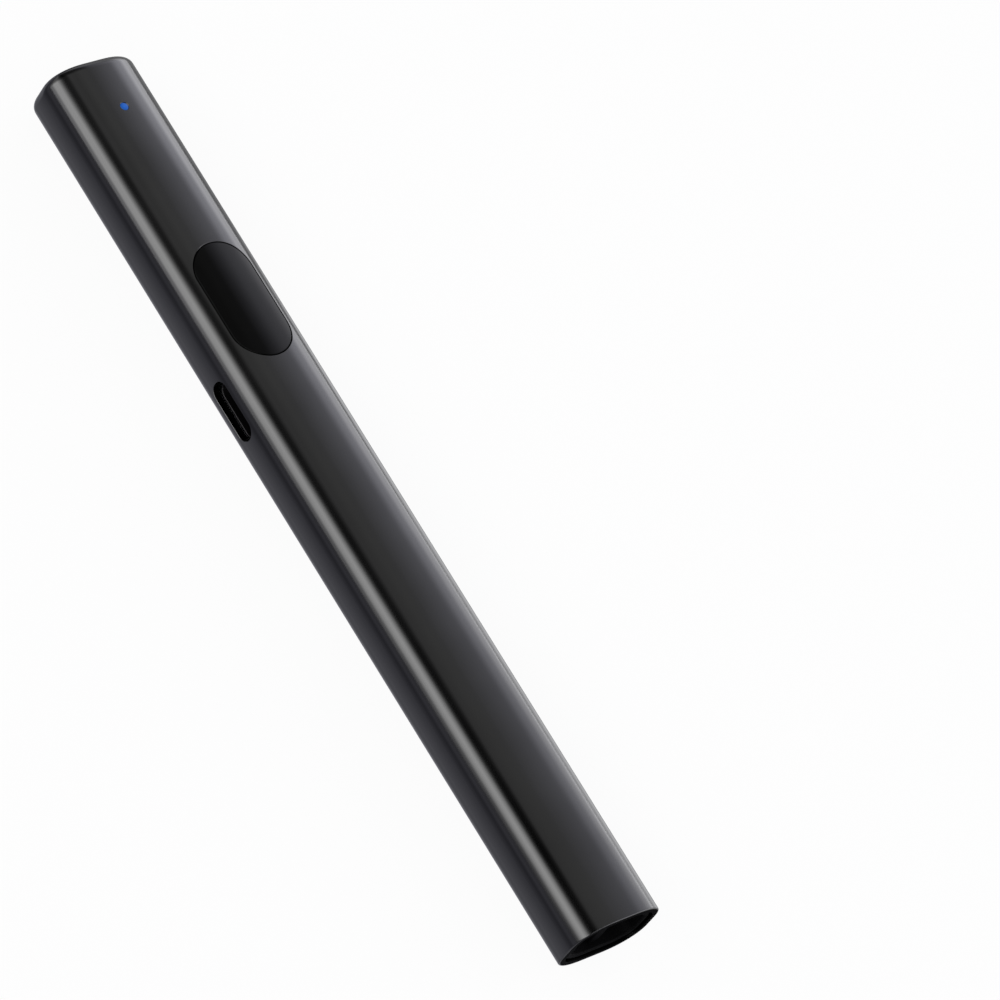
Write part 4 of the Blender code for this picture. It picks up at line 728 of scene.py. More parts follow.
@dataclass(frozen=True)
class Piece:
    """One finished piece: its name, its finish, the node it stands for and what it rides on."""

    name: str
    finish: Finish
    node: str = ""
    carrier: Carrier = Carrier.HANDSET

    def make(
        self, shape: Shape, normals: Callable[[Vector, Vector], Vector | None] | None = None
    ) -> bpy.types.Object:
        """Turns a shape in millimetres to the finished piece.

        Args:
            shape: the shape. It is used up.
            normals: gives a point's true direction from the point and its face's direction, or
                None where the mesh's own holds.

        Returns:
            The piece.
        """
        mesh = to_mesh(shape, self.name)
        mesh.shade_smooth()
        mesh.set_sharp_from_angle(angle=SHARP_ANGLE)
        if normals:
            directions = [corner.vector.copy() for corner in mesh.corner_normals]
            for face in mesh.polygons:
                for corner in face.loop_indices:
                    point = mesh.vertices[mesh.loops[corner].vertex_index].co
                    directions[corner] = normals(point, face.normal) or directions[corner]
            mesh.normals_split_custom_set(directions)
        mesh.transform(Matrix.Scale(METRES, 4))
        mesh.materials.append(self.finish.material())
        made = put_in_scene(self.name, mesh)
        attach(made, self.carrier.value)
        if self.node:
            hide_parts(self.node)
        LOG.info("%s: %d faces, rides on %s", self.name, len(mesh.polygons), self.carrier.value)
        return made


# ------------------------------------------------------------ sub-assemblies


@dataclass
class BodyTube:
    """The extruded aluminium tube, its front end rolled in to a lip, with three openings."""

    section: TubeSection
    half_length: float = 70.0
    wall: float = 1.0
    front_rounding: float = 1.5
    front_steps: int = 12
    lip_land: float = 0.3
    lip_thickness: float = 1.0
    rear_rounding: float = 0.22
    rear_steps: int = 4
    edge_break: float = 0.04
    cutter_flare: float = 0.3
    upper_cut_depth: float = 2.8
    side_cut_depth: float = 2.0
    # A face that leans further than this from the skin's direction, in degrees, isn't skin
    skin_angle: float = 14.0
    button_x: float = 29.3
    button_opening: Outline = field(default_factory=lambda: rounded(18.6, 9.4, 4.7, 20))
    light_x: float = 61.6
    light_hole: Outline = field(default_factory=lambda: rounded(1.25, 1.25, 0.625, 8))
    port_x: float = 16.4
    port_slot: Outline = field(default_factory=lambda: rounded(9.2, 3.2, 1.6, 14))

    def blank(self) -> Shape:
        """Lofts the tube, uncut.

        Returns:
            The shape.
        """
        end, front, rear = self.half_length, self.front_rounding, self.rear_rounding
        lip, behind = front + self.lip_land, end - self.lip_thickness
        stations = [
            *arc(rear - end, 0, -rear, -rear, self.rear_steps)[::-1],
            *arc(end - front, 0, front, -front, self.front_steps),
            (end, -lip),
            (behind, -lip),
            (behind, -self.wall),
            (-end, -self.wall),
        ]
        return self.section.swept(stations, Along.X, (0, 0, self.section.axis), closed=True)

    def cutter(
        self, outline: Outline, along: Along, centre: Place, floor: float, skin: Height
    ) -> Shape:
        """Makes a cutter that flares where it leaves the skin, which breaks the opening's edge.

        Args:
            outline: the opening.
            along: the way that it is cut.
            centre: the opening's middle.
            floor: where the cutter starts, inside the tube.
            skin: height of the tube's skin across the opening.

        Returns:
            The cutter.
        """
        edge, flare = self.edge_break, self.cutter_flare
        stations = (
            (floor, 0.0),
            (lambda across: skin(across) - edge, 0.0),
            (lambda across: skin(across) + flare, flare + edge),
        )
        return outline.swept(stations, along, centre)

    def true_normal(self, point: Vector, facing: Vector) -> Vector | None:
        """Gives the direction of the rolled and extruded skin at a point.

        Args:
            point: the point.
            facing: direction of its face.

        Returns:
            The direction, or None off the outer skin.
        """
        rounding = self.front_rounding if point.x > 0 else self.rear_rounding
        turn = math.asin(min(max(1 - (self.half_length - abs(point.x)) / rounding, 0.0), 1.0))
        across = self.section.normal(point.y, point.z, rounding * (1 - math.cos(turn)))
        ahead = Vector((math.copysign(math.sin(turn), point.x), 0, 0))
        true = across * math.cos(turn) + ahead
        return true if true.dot(facing) > math.cos(math.radians(self.skin_angle)) else None

    def build(self) -> None:
        """Cuts the openings and finishes the tube, whose sawn rear end face takes painted shade."""
        section, shape = self.section, self.blank()
        floor, far = section.width - self.upper_cut_depth, section.length / 2 - self.side_cut_depth
        for opening in (
            (self.button_opening, Along.Z, (self.button_x, 0, 0), floor, section.roof),
            (self.light_hole, Along.Z, (self.light_x, 0, 0), floor, section.roof),
            (self.port_slot, Along.Y, (self.port_x, 0, section.axis), far, section.side),
        ):
            shape = combine(shape, self.cutter(*opening), Joining.CUT)
        tube = Piece("anodised_tube", BLACK_ANODISED, "body_tube").make(shape, self.true_normal)
        tube.data.materials.append(SAWN_END_PAINTED_SHADE.material())
        # Faces at the rear end take the near-black copy: painted shade on the end face
        sawn = (WELD - self.half_length) * METRES
        for face in tube.data.polygons:
            face.material_index = int(face.center.x < sawn)


@dataclass
class ThumbButton:
    """The oval button: its top follows the tube, and a flange under the wall holds it in."""

    tube: BodyTube
    gap: float = 0.15
    edge_rounding: float = 0.08
    edge_steps: int = 5
    skin: float = 0.9
    ceiling_share: float = 0.8
    rim: float = 0.9
    flange_width: float = 0.6
    flange_edge: float = 0.5
    seat_gap: float = 0.2
    stem: Outline = field(default_factory=lambda: rounded(2.6, 2.6, 0.65, 6))
    stem_end: float = 6.87
    stem_break: float = 0.1
    root_overlap: float = 0.2
    pin_radius: float = 0.6
    pin_spacing: float = 10.0
    pin_end: float = 6.52
    pin_break: float = 0.15
    pin_steps: int = 24
    crown_rings: int = 14
    crown_reach: float = 0.92
    # Lean of the crowned top in degrees: on the middle line, its slope across, and its rise to +Y
    crown_lean: tuple[float, float, float] = (-3.2, 3.0, 0.75)
    # A point less than this below the tube's skin is on the button's top
    top_depth: float = 0.004

    def stations(self) -> list[tuple[Height, float]]:
        """Lists the button's rings, from the middle of its underside round to the flat of its top.

        Returns:
            Pairs of the ring's height across the tube and the growth of the opening's outline.
        """
        opening, roof, edge = self.tube.button_opening, self.tube.section.roof, self.edge_rounding
        half_width = opening.width / 2 - self.gap
        wall, flange = self.tube.wall + self.seat_gap, self.flange_width + self.gap
        under_wall = roof(opening.width / 2 + self.flange_width, self.tube.wall)
        bottom = under_wall - self.seat_gap - self.flange_edge
        rings: list[tuple[Height, float]] = [
            (lambda y: roof(y, self.skin), -half_width * self.ceiling_share),
            (lambda y: roof(y, self.skin), -self.rim - half_width / 2),
            (lambda y: roof(y, self.skin), -self.rim),
            (lambda y: bottom, -self.rim),
            (lambda y: bottom, flange),
            (lambda y: roof(y, wall), flange),
            (lambda y: roof(y, wall), 0.0),
        ]
        for low, inward in arc(edge, 0, -edge, -edge, self.edge_steps):
            rings.append((lambda y, low=low: roof(y) - low, inward))
        for ring in range(1, self.crown_rings + 1):
            rings.append((roof, -self.crown_reach * half_width * ring / self.crown_rings))
        return [(height, grow - self.gap) for height, grow in rings]

    def true_normal(self, point: Vector, facing: Vector) -> Vector | None:
        """Gives the crowned top's direction.

        Args:
            point: a point of the button.
            facing: direction of its face.

        Returns:
            The direction, or None off the top.
        """
        start, slope, rise = self.crown_lean
        lean = math.radians(start + slope * point.y + rise * max(point.y, 0.0) ** 2)
        on_top = point.z > self.tube.section.roof(point.y) - self.top_depth and facing.z > FACING
        return Vector((0.0, math.sin(lean), math.cos(lean))) if on_top else None

    def build(self) -> None:
        """Models the button with its stem and two guide pins."""
        middle, tip, radius = self.tube.button_x, self.pin_end, self.pin_radius
        shape = self.tube.button_opening.swept(self.stations(), Along.Z, (middle, 0, 0))
        root = self.tube.section.width - self.skin + self.root_overlap
        stations = [*broken(self.stem_end, 0, self.stem_break, -1), (root, 0)]
        stem = self.stem.swept(stations, Along.Z, (middle, 0, 0))
        shape = combine(shape, stem, Joining.FUSE)
        profile = [(tip, 0), *broken(tip, radius, self.pin_break, -1), (root, radius), (root, 0)]
        for side in (1, -1):
            centre = (middle + side * self.pin_spacing / 2, 0, 0)
            pin = turned(profile, Along.Z, centre, steps=self.pin_steps)
            shape = combine(shape, pin, Joining.FUSE)
        piece = Piece("gloss_button", GLOSS_BLACK, "button_cap", Carrier.BUTTON)
        piece.make(shape, self.true_normal)


@dataclass
class SnapDome:
    """The switch's sprung steel dome, which snaps flat under the plunger."""

    tube: BodyTube
    bottom: float = 4.32
    radius: float = 1.85
    height: float = 0.5
    thickness: float = 0.12
    rings: int = 8
    pressed_share: float = 0.36

    def build(self) -> None:
        """Turns the dome."""
        inside, outside = [], []
        for ring in range(self.rings + 1):
            share = ring / self.rings
            under = self.bottom + (self.height - self.thickness) * (1 - share**2)
            inside.append((under, (self.radius - self.thickness) * share))
            outside.append((under + self.thickness, self.radius * share))
        profile = [*inside, (self.bottom, self.radius), *reversed(outside)]
        x = self.tube.button_x
        piece = Piece("snap_dome", STAMPED_STEEL, "switch_dome")
        dome = piece.make(turned(profile, Along.Z, (x, 0, 0)))
        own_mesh(dome)


@dataclass
class StatusLight:
    """The light guide with its shoulder under the wall. Its domed end is the blue dot."""

    tube: BodyTube
    radius: float = 0.6
    dome: float = 0.04
    dome_share: float = 0.92
    dome_steps: int = 6
    shoulder_radius: float = 1.0
    shoulder_low: float = 9.1
    shoulder_high: float = 9.6
    edge: float = 0.05

    def build(self) -> None:
        """Turns the guide."""
        x, top, edge, radius = self.tube.light_x, self.tube.section.width, self.edge, self.radius
        low, high, wide = self.shoulder_low, self.shoulder_high, self.shoulder_radius
        start, cap = top - self.dome, radius * self.dome_share
        profile = [
            (low, 0),
            *broken(low, wide, edge, -1),
            *broken(high, wide, edge),
            (high, radius),
            (start - edge, radius),
            *arc(start, cap, self.dome, -cap, self.dome_steps),
        ]
        finish = replace(BLUE_GUIDE, centre=(x, 0, top))
        Piece("light_guide", finish, "led_light_pipe").make(turned(profile, Along.Z, (x, 0, 0)))


@dataclass
class ChargingPort:
    """The charging receptacle: drawn steel shell with legs, insulator, tongue and contacts."""

    tube: BodyTube
    shell: Outline = field(default_factory=lambda: rounded(8.94, 3.16, 1.5, 10))
    wall: float = 0.3
    mouth: float = 6.26
    mouth_steps: int = 4
    back: float = -1.04
    # The bend round the cup's base: pairs of distance from the base and distance in
    base_bend: Pairs = ((0.0, 0.25), (0.07, 0.07), (0.25, 0.0))
    inner_bend: float = 0.2
    leg_width: float = 1.1
    leg_rows: tuple[float, float] = (4.46, 1.06)
    leg_end: float = 2.82
    leg_edge: float = 0.04
    insert_gap: float = 0.1
    insert_depth: float = 2.4
    insert_edge: float = 0.1
    tongue: Outline = field(default_factory=lambda: rounded(6.7, 0.7, 0.2, 3))
    tongue_tip: float = 5.36
    # The tip's chamfer: pairs of distance from the tip and distance in
    tip_chamfer: Pairs = ((0.3, 0.0), (0.04, 0.1), (0.0, 0.16))
    contact_count: int = 12
    contact_pitch: float = 0.5
    contact_width: float = 0.26
    contact_length: float = 2.6
    contact_setback: float = 0.5
    contact_proud: float = 0.02
    contact_sink: float = 0.1

    @property
    def centre(self) -> Corner:
        """The receptacle's middle, on the tube's axis."""
        return self.tube.port_x, 0.0, self.tube.section.axis

    def build(self) -> None:
        """Models the shell, the insulator and the contacts."""
        self.build_shell()
        self.build_tongue()
        self.build_contacts()

    def build_shell(self) -> None:
        """Draws the shell's cup, rolls its mouth and fuses its legs on."""
        inner, half, bend = -self.wall, self.wall / 2, self.inner_bend
        roll, floor = self.mouth - half, self.back + self.wall
        stations = [
            *((self.back + on, -inward) for on, inward in self.base_bend),
            *arc(roll, 0, half, -half, self.mouth_steps),
            *arc(roll, inner, half, half, self.mouth_steps)[-2::-1],
            (floor + bend, inner),
            (floor, inner - bend),
        ]
        shape = self.shell.swept(stations, Along.Y, self.centre)
        x, _, z = self.centre
        for side in (1, -1):
            middle = x + side * (self.shell.length / 2 - half)
            for y in self.leg_rows:
                low = (middle - half, y - self.leg_width / 2, self.leg_end)
                high = (middle + half, y + self.leg_width / 2, z)
                shape = combine(shape, block(low, high, self.leg_edge), Joining.FUSE)
        Piece("port_shell", BLACK_NICKEL, "usb_c_shell").make(shape)

    def build_tongue(self) -> None:
        """Moulds the insulator and its tongue, whose tip is chamfered."""
        grow = -self.wall - self.insert_gap
        back = self.back - grow
        front = back + self.insert_depth
        stations = [(back, grow), *broken(front, grow, self.insert_edge)]
        shape = self.shell.swept(stations, Along.Y, self.centre)
        stations = [(self.tongue_tip - behind, -inward) for behind, inward in self.tip_chamfer]
        stations.insert(0, (front - self.insert_depth / 2, 0))
        tongue = self.tongue.swept(stations, Along.Y, self.centre)
        shape = combine(shape, tongue, Joining.FUSE)
        Piece("port_insulator", MATTE_BLACK, "usb_c_tongue").make(shape)

    def build_contacts(self) -> None:
        """Lays a row of contacts on each face of the tongue."""
        x, _, z = self.centre
        far, half = self.tongue_tip - self.contact_setback, self.contact_width / 2
        strips = []
        for side in (1, -1):
            face = z + side * self.tongue.width / 2
            low, high = sorted((face - side * self.contact_sink, face + side * self.contact_proud))
            for number in range(self.contact_count):
                middle = x + (number - (self.contact_count - 1) / 2) * self.contact_pitch
                near = (middle - half, far - self.contact_length, low)
                strips.append(block(near, (middle + half, far, high)))
        Piece("port_contacts", GOLD_FLASH).make(gather(strips))


@dataclass
class FrontEnd:
    """The front plug with its window, and the laser module's visible parts behind it."""

    tube: BodyTube
    plug_rear: float = 66.3
    plug_shoulder: float = 68.8
    plug_face: float = 69.7
    plug_inset: float = 1.2
    face_inset: float = 2.0
    face_edge: float = 0.12
    collar_rear: float = 63.5
    collar_bore: float = 2.75
    collar_outer: float = 3.45
    collar_edge: float = 0.15
    collar_overlap: float = 0.2
    aperture: float = 1.3
    seat: float = 68.8
    seat_radius: float = 2.2
    seat_edge: float = 0.1
    window_rear: float = 69.0
    window_front: float = 69.6
    window_radius: float = 2.1
    window_edge: float = 0.08
    lens_rear: float = 61.6
    lens_rim: float = 62.6
    lens_radius: float = 2.0
    lens_edge: float = 0.05
    lens_rise: float = 0.67
    lens_steps: int = 9
    # Profiles of the ring and the barrel: pairs of place along the axis and radius
    ring: Pairs = (
        (63.4, 2.05), (64.52, 2.05), (64.6, 1.97), (64.6, 1.4), (64.45, 1.25), (63.4, 1.25),
    )
    barrel: Pairs = (
        (55.3, 2.5), (55.4, 2.6), (66.0, 2.6), (66.1, 2.5), (66.1, 2.25), (66.0, 2.15),
        (61.5, 2.15), (61.5, 1.65), (57.0, 1.65), (57.0, 2.0), (55.3, 2.0),
    )
    turn_steps: int = 64

    @property
    def centre(self) -> Corner:
        """A point on the light's path."""
        return 0.0, 0.0, self.tube.section.axis

    def build(self) -> None:
        """Models the plug, the window, and the module's barrel, lens and ring."""
        self.build_plug()
        self.build_optics()

    def build_plug(self) -> None:
        """Moulds the shouldered plug and bores it."""
        stations = [
            (self.plug_rear, -self.plug_inset),
            (self.plug_shoulder, -self.plug_inset),
            (self.plug_shoulder, -self.face_inset),
            *broken(self.plug_face, -self.face_inset, self.face_edge),
        ]
        shape = self.tube.section.swept(stations, Along.X, self.centre)
        root, rear = self.plug_rear + self.collar_overlap, self.collar_rear
        collar = [
            (rear, self.collar_bore),
            *broken(rear, self.collar_outer, self.collar_edge, -1),
            (root, self.collar_outer),
            (root, self.collar_bore),
        ]
        shape = combine(shape, turned(collar, Along.X, self.centre, closed=True), Joining.FUSE)
        mouth, beyond = self.seat_radius + self.seat_edge, self.plug_face + OVERRUN
        bore = (
            (rear - OVERRUN, 0),
            (rear - OVERRUN, self.collar_bore),
            (self.plug_rear, self.collar_bore),
            (self.plug_rear, self.aperture),
            (self.seat, self.aperture),
            (self.seat, self.seat_radius),
            (self.plug_face - self.seat_edge, self.seat_radius),
            (self.plug_face, mouth),
            (beyond, mouth),
            (beyond, 0),
        )
        shape = combine(shape, turned(bore, Along.X, self.centre), Joining.CUT)
        Piece("front_plug", MATTE_BLACK, "nose_plug").make(shape)

    def build_optics(self) -> None:
        """Turns the window, the lens, its ring and the barrel."""
        rear, front, radius = self.window_rear, self.window_front, self.window_radius
        window = [(rear, 0), *broken(rear, radius, self.window_edge, -1)]
        window += [*broken(front, radius, self.window_edge), (front, 0)]
        rear, radius = self.lens_rear, self.lens_radius
        lens = [(rear, 0), *broken(rear, radius, self.lens_edge, -1)]
        lens += arc(self.lens_rim, radius, self.lens_rise, -radius, self.lens_steps)
        for name, finish, node, profile, closed in (
            ("laser_window_glass", CLEAR_OPTIC, "laser_window", window, False),
            ("aspheric_lens", CLEAR_OPTIC, "collimating_lens", lens, False),
            ("lens_ring", NICKEL_BRASS, "lens_retainer_ring", self.ring, True),
            ("module_barrel", NICKEL_BRASS, "laser_barrel", self.barrel, True),
        ):
            shape = turned(profile, Along.X, self.centre, closed, self.turn_steps)
            Piece(name, finish, node).make(shape)


@dataclass
class StoredReceiver:
    """The receiver in the tail: dished grip with its pull bar, steel plug, tray, board and pads."""

    tube: BodyTube
    grip_rear: float = -69.7
    grip_front: float = -62.2
    grip_inset: float = 1.2
    grip_edge: float = 0.25
    grip_steps: int = 4
    grip_front_edge: float = 0.1
    cup_wall: float = 0.9
    cup_depth: float = 3.0
    # The bend round the cup's floor: pairs of distance from the floor and distance in
    cup_bend: Pairs = ((0.0, 0.35), (0.1, 0.1), (0.35, 0.0))
    bar_setback: float = 0.9
    bar_width: float = 1.6
    bar_thickness: float = 1.2
    bar_edge: float = 0.22
    bar_edge_faces: int = 3
    pocket_depth: float = 3.7
    pocket_half_width: float = 5.55
    pocket_low: float = 4.65
    pocket_high: float = 7.65
    shell_rear: float = -62.0
    shell_tip: float = -50.0
    shell: Outline = field(default_factory=lambda: rounded(12.0, 4.5, 0.6, 6))
    shell_wall: float = 0.3
    # The shell's rounded lip: pairs of distance from the tip and distance in
    shell_lip: Pairs = ((0.12, 0.0), (0.03, 0.05), (0.0, 0.12), (0.0, 0.24), (0.1, 0.3))
    window_x: float = -55.8
    window_length: float = 2.1
    window_width: float = 2.3
    window_spacing: float = 5.6
    # Lowest corner, highest corner and width of the rounded edges
    tray: tuple[Corner, Corner, float] = ((-62.0, -5.6, 3.55), (-50.4, 5.6, 4.75), 0.12)
    board: tuple[Corner, Corner, float] = ((-65.7, -5.3, 4.85), (-50.6, 5.3, 5.65), 0.06)
    # Place across and length of each pad
    pads: Pairs = ((-3.5, 7.4), (-1.0, 6.4), (1.0, 6.4), (3.5, 7.4))
    pad_width: float = 1.0
    pad_setback: float = 0.6
    pad_sink: float = 0.05
    pad_proud: float = 0.04
    pad_edge: float = 0.02

    def build(self) -> None:
        """Models the grip, the shell, the tray, the board and its pads."""
        self.build_grip()
        self.build_shell()
        self.build_board()

    def build_grip(self) -> None:
        """Moulds the dished grip, its bar and the pocket for the board. Its skin is polished and
        lighter, its cup in painted shade.
        """
        section, rear, edge = self.tube.section, self.grip_rear, self.grip_edge
        skin, cup = -self.grip_inset, -self.grip_inset - self.cup_wall
        floor = rear + self.cup_depth
        stations = [
            *((floor - behind, cup - inward) for behind, inward in self.cup_bend),
            *arc(rear + edge, cup, -edge, edge, self.grip_steps),
            *arc(rear + edge, skin, -edge, -edge, self.grip_steps)[::-1],
            *broken(self.grip_front, skin, self.grip_front_edge),
        ]
        shape = section.swept(stations, Along.X, (0, 0, section.axis))
        start, reach = rear + self.bar_setback, section.axis + cup + self.cup_wall / 2
        low = (start, -self.bar_width / 2, section.axis - reach)
        high = (start + self.bar_thickness, self.bar_width / 2, section.axis + reach)
        bar = block(low, high, self.bar_edge, self.bar_edge_faces)
        shape = combine(shape, bar, Joining.FUSE)
        low = (self.grip_front - self.pocket_depth, -self.pocket_half_width, self.pocket_low)
        high = (self.grip_front + OVERRUN, self.pocket_half_width, self.pocket_high)
        shape = combine(shape, block(low, high), Joining.CUT)
        piece = Piece("receiver_tail", MATTE_BLACK, "receiver_grip", Carrier.RECEIVER)
        tail = piece.make(shape)
        tail.data.materials.append(SATIN_BLACK.material())
        # The outer skin takes the lighter satin copy; the cup and rim keep the near-black copy as
        # painted shade
        for face in tail.data.polygons:
            x, y, z = face.center / METRES
            outward = section.normal(y, z, self.grip_inset).dot(face.normal)
            face.material_index = int(outward > FACING and x > rear + edge)

    def build_shell(self) -> None:
        """Folds the plug's shell and punches its windows."""
        lip = [(self.shell_tip - behind, -inward) for behind, inward in self.shell_lip]
        stations = [(self.shell_rear, 0), *lip, (self.shell_rear, -self.shell_wall)]
        shape = self.shell.swept(stations, Along.X, (0, 0, self.tube.section.axis), closed=True)
        half_x, half_y = self.window_length / 2, self.window_width / 2
        for side in (1, -1):
            y = side * self.window_spacing / 2
            low = (self.window_x - half_x, y - half_y, 0)
            high = (self.window_x + half_x, y + half_y, self.tube.section.width)
            shape = combine(shape, block(low, high), Joining.CUT)
        Piece("receiver_plug_shell", STAMPED_STEEL, "receiver_shell", Carrier.RECEIVER).make(shape)

    def build_board(self) -> None:
        """Makes the tray, the board with a broken edge, and its four gold pads."""
        tray = Piece("receiver_tray", MATTE_BLACK, "receiver_carrier", Carrier.RECEIVER)
        tray.make(block(*self.tray))
        board = Piece("receiver_pcb", BLACK_BOARD, "receiver_board", Carrier.RECEIVER)
        board.make(block(*self.board))
        front, _, top = self.board[1]
        tip, half, strips = front - self.pad_setback, self.pad_width / 2, []
        for y, length in self.pads:
            low = (tip - length, y - half, top - self.pad_sink)
            strips.append(block(low, (tip, y + half, top + self.pad_proud), self.pad_edge, 1))
        Piece("receiver_pads", GOLD_FLASH, carrier=Carrier.RECEIVER).make(gather(strips))


@dataclass
class Inside:
    """The inner parts, whose solids are right as they are, so that they only take a finish."""

    nodes: dict[str, bpy.types.Object]
    finishes: tuple[tuple[Finish, tuple[str, ...]], ...] = (
        (FRAME_NYLON, ("button_bracket", "inner_frame", "tail_bay")),
        (CHIP_RESIN, ("switch_base", "radio_chip", "charger_chip", "receiver_chip")),
        (MATTE_BLACK, ("switch_plunger",)),
        (STAMPED_STEEL, ("switch_cover", "radio_crystal", "board_screw_rear", "board_screw_front")),
        (GOLD_FLASH, ("laser_diode",)),
        (BLACK_BOARD, ("laser_driver_board", "main_board", "cell_protection_board")),
        (RED_SILICONE, ("laser_lead_red", "battery_lead_red")),
        (BLACK_SILICONE, ("laser_lead_black", "battery_lead_black")),
        (WHITE_CERAMIC, ("chip_antenna", "status_led")),
        (TAN_CERAMIC, ("capacitor_1", "capacitor_2", "capacitor_3", "capacitor_4")),
        (CELL_POUCH, ("battery_cell",)),
        (CELL_FOAM, ("battery_foam",)),
        (AMBER_FILM, ("led_flex",)),
        (MAGNET_NICKEL, ("receiver_magnet",)),
    )

    def dress(self) -> None:
        """Gives each part its finish."""
        for finish, names in self.finishes:
            for name in names:
                for slot in self.nodes[name].material_slots:
                    slot.material = finish.material()
                LOG.info("%s: %s", name, finish.name)


# ------------------------------------------------------------------- studio


@dataclass(frozen=True)
class Levels:
    """How bright a surrounding looks to the handset, across it and along it.

    A row is a place from -span to span units, the level there towards the rear, the level towards
    the front, and the share of blue. The rear's levels hold up to the X value rear, and the
    front's from the X value front.
    """

    rows: tuple[tuple[float, float, float, float], ...]
    brightest: float
    span: float
    unit: float
    rear: float
    front: float

    @property
    def white(self) -> tuple[float, float, float, float]:
        """The share of the brightest level that shows as plain white."""
        return (1 / self.brightest,) * 3 + (1.0,)

    def seen(self, tree: Tree, across: Socket, ahead: Socket) -> Socket:
        """Adds the nodes that mix the levels.

        Args:
            tree: the node tree.
            across: the place across, in the tree's own units.
            ahead: the X part of a place or direction.

        Returns:
            The colour, as a share of the brightest level.
        """
        limit, ends = self.span * self.unit, []
        place = add_node(tree, "MapRange", {"From Min": -limit, "From Max": limit}, {0: across})
        for end in (1, 2):
            stops = []
            for row in self.rows:
                level = row[end] / self.brightest
                stops.append(((row[0] / self.span + 1) / 2, (level, level, level * row[3])))
            ramp = add_node(tree, "ValToRGB", {"stops": stops}, {0: place.outputs[0]})
            ends.append(ramp.outputs[0])
        reach = {"From Min": self.rear, "From Max": self.front}
        share = add_node(tree, "MapRange", reach, {0: ahead}).outputs[0]
        mixed = add_node(tree, "Mix", {"data_type": "RGBA"}, {0: share, 6: ends[0], 7: ends[1]})
        return mixed.outputs[2]


# Degrees round the handset's axis, from +Y over the top to -Y: a long soft strip on the charging
# side, a dim top and a pale far side
ROOM = Levels(
    rows=(
        (0, 0.2, 2.0, 1.03), (10, 0.55, 1.75, 1.03), (18, 1.8, 4.05, 1.0), (26, 3.0, 3.7, 1.0),
        (36, 3.8, 3.8, 1.0), (42, 3.2, 2.5, 1.0), (48, 2.33, 1.15, 1.0), (54, 0.54, 0.31, 1.0),
        (60, 0.0, 0.1, 1.0), (72, 0.0, 0.17, 1.0), (78, 0.02, 0.47, 1.0), (84, 0.36, 0.43, 1.0),
        (92, 0.39, 0.37, 1.0), (108, 0.41, 0.5, 1.0), (124, 0.45, 0.44, 1.03),
        (134, 0.72, 1.11, 1.12), (144, 1.21, 2.5, 1.11), (153, 1.39, 2.53, 1.1),
        (162, 2.0, 4.35, 1.06), (171, 2.2, 3.0, 1.05), (180, 4.5, 2.6, 1.03),
    ),
    brightest=4.5, span=180.0, unit=math.radians(1), rear=0.221, front=0.38,
)
# Millimetres across the floor from the axis towards +Y: painted bands of light and shade on the
# floor, which only mirrored rays see
FLOOR_PAINTED_BANDS = Levels(
    rows=(
        (-30, 1.55, 0.5, 1.03), (-18, 0.41, 0.3, 1.02), (-9, 0.05, 0.05, 1.0),
        (4, 0.4, 0.4, 1.1), (8.5, 0.47, 0.47, 1.12), (9.7, 0.66, 0.66, 1.12),
        (10.6, 0.74, 0.74, 1.12), (11.4, 0.58, 0.58, 1.14), (12.4, 0.34, 0.34, 1.18),
        (19, 0.2, 0.2, 1.2), (30, 0.38, 0.38, 1.18), (55, 0.32, 0.32, 1.15),
    ),
    brightest=1.6, span=100.0, unit=METRES, rear=27.0 * METRES, front=50.0 * METRES,
)


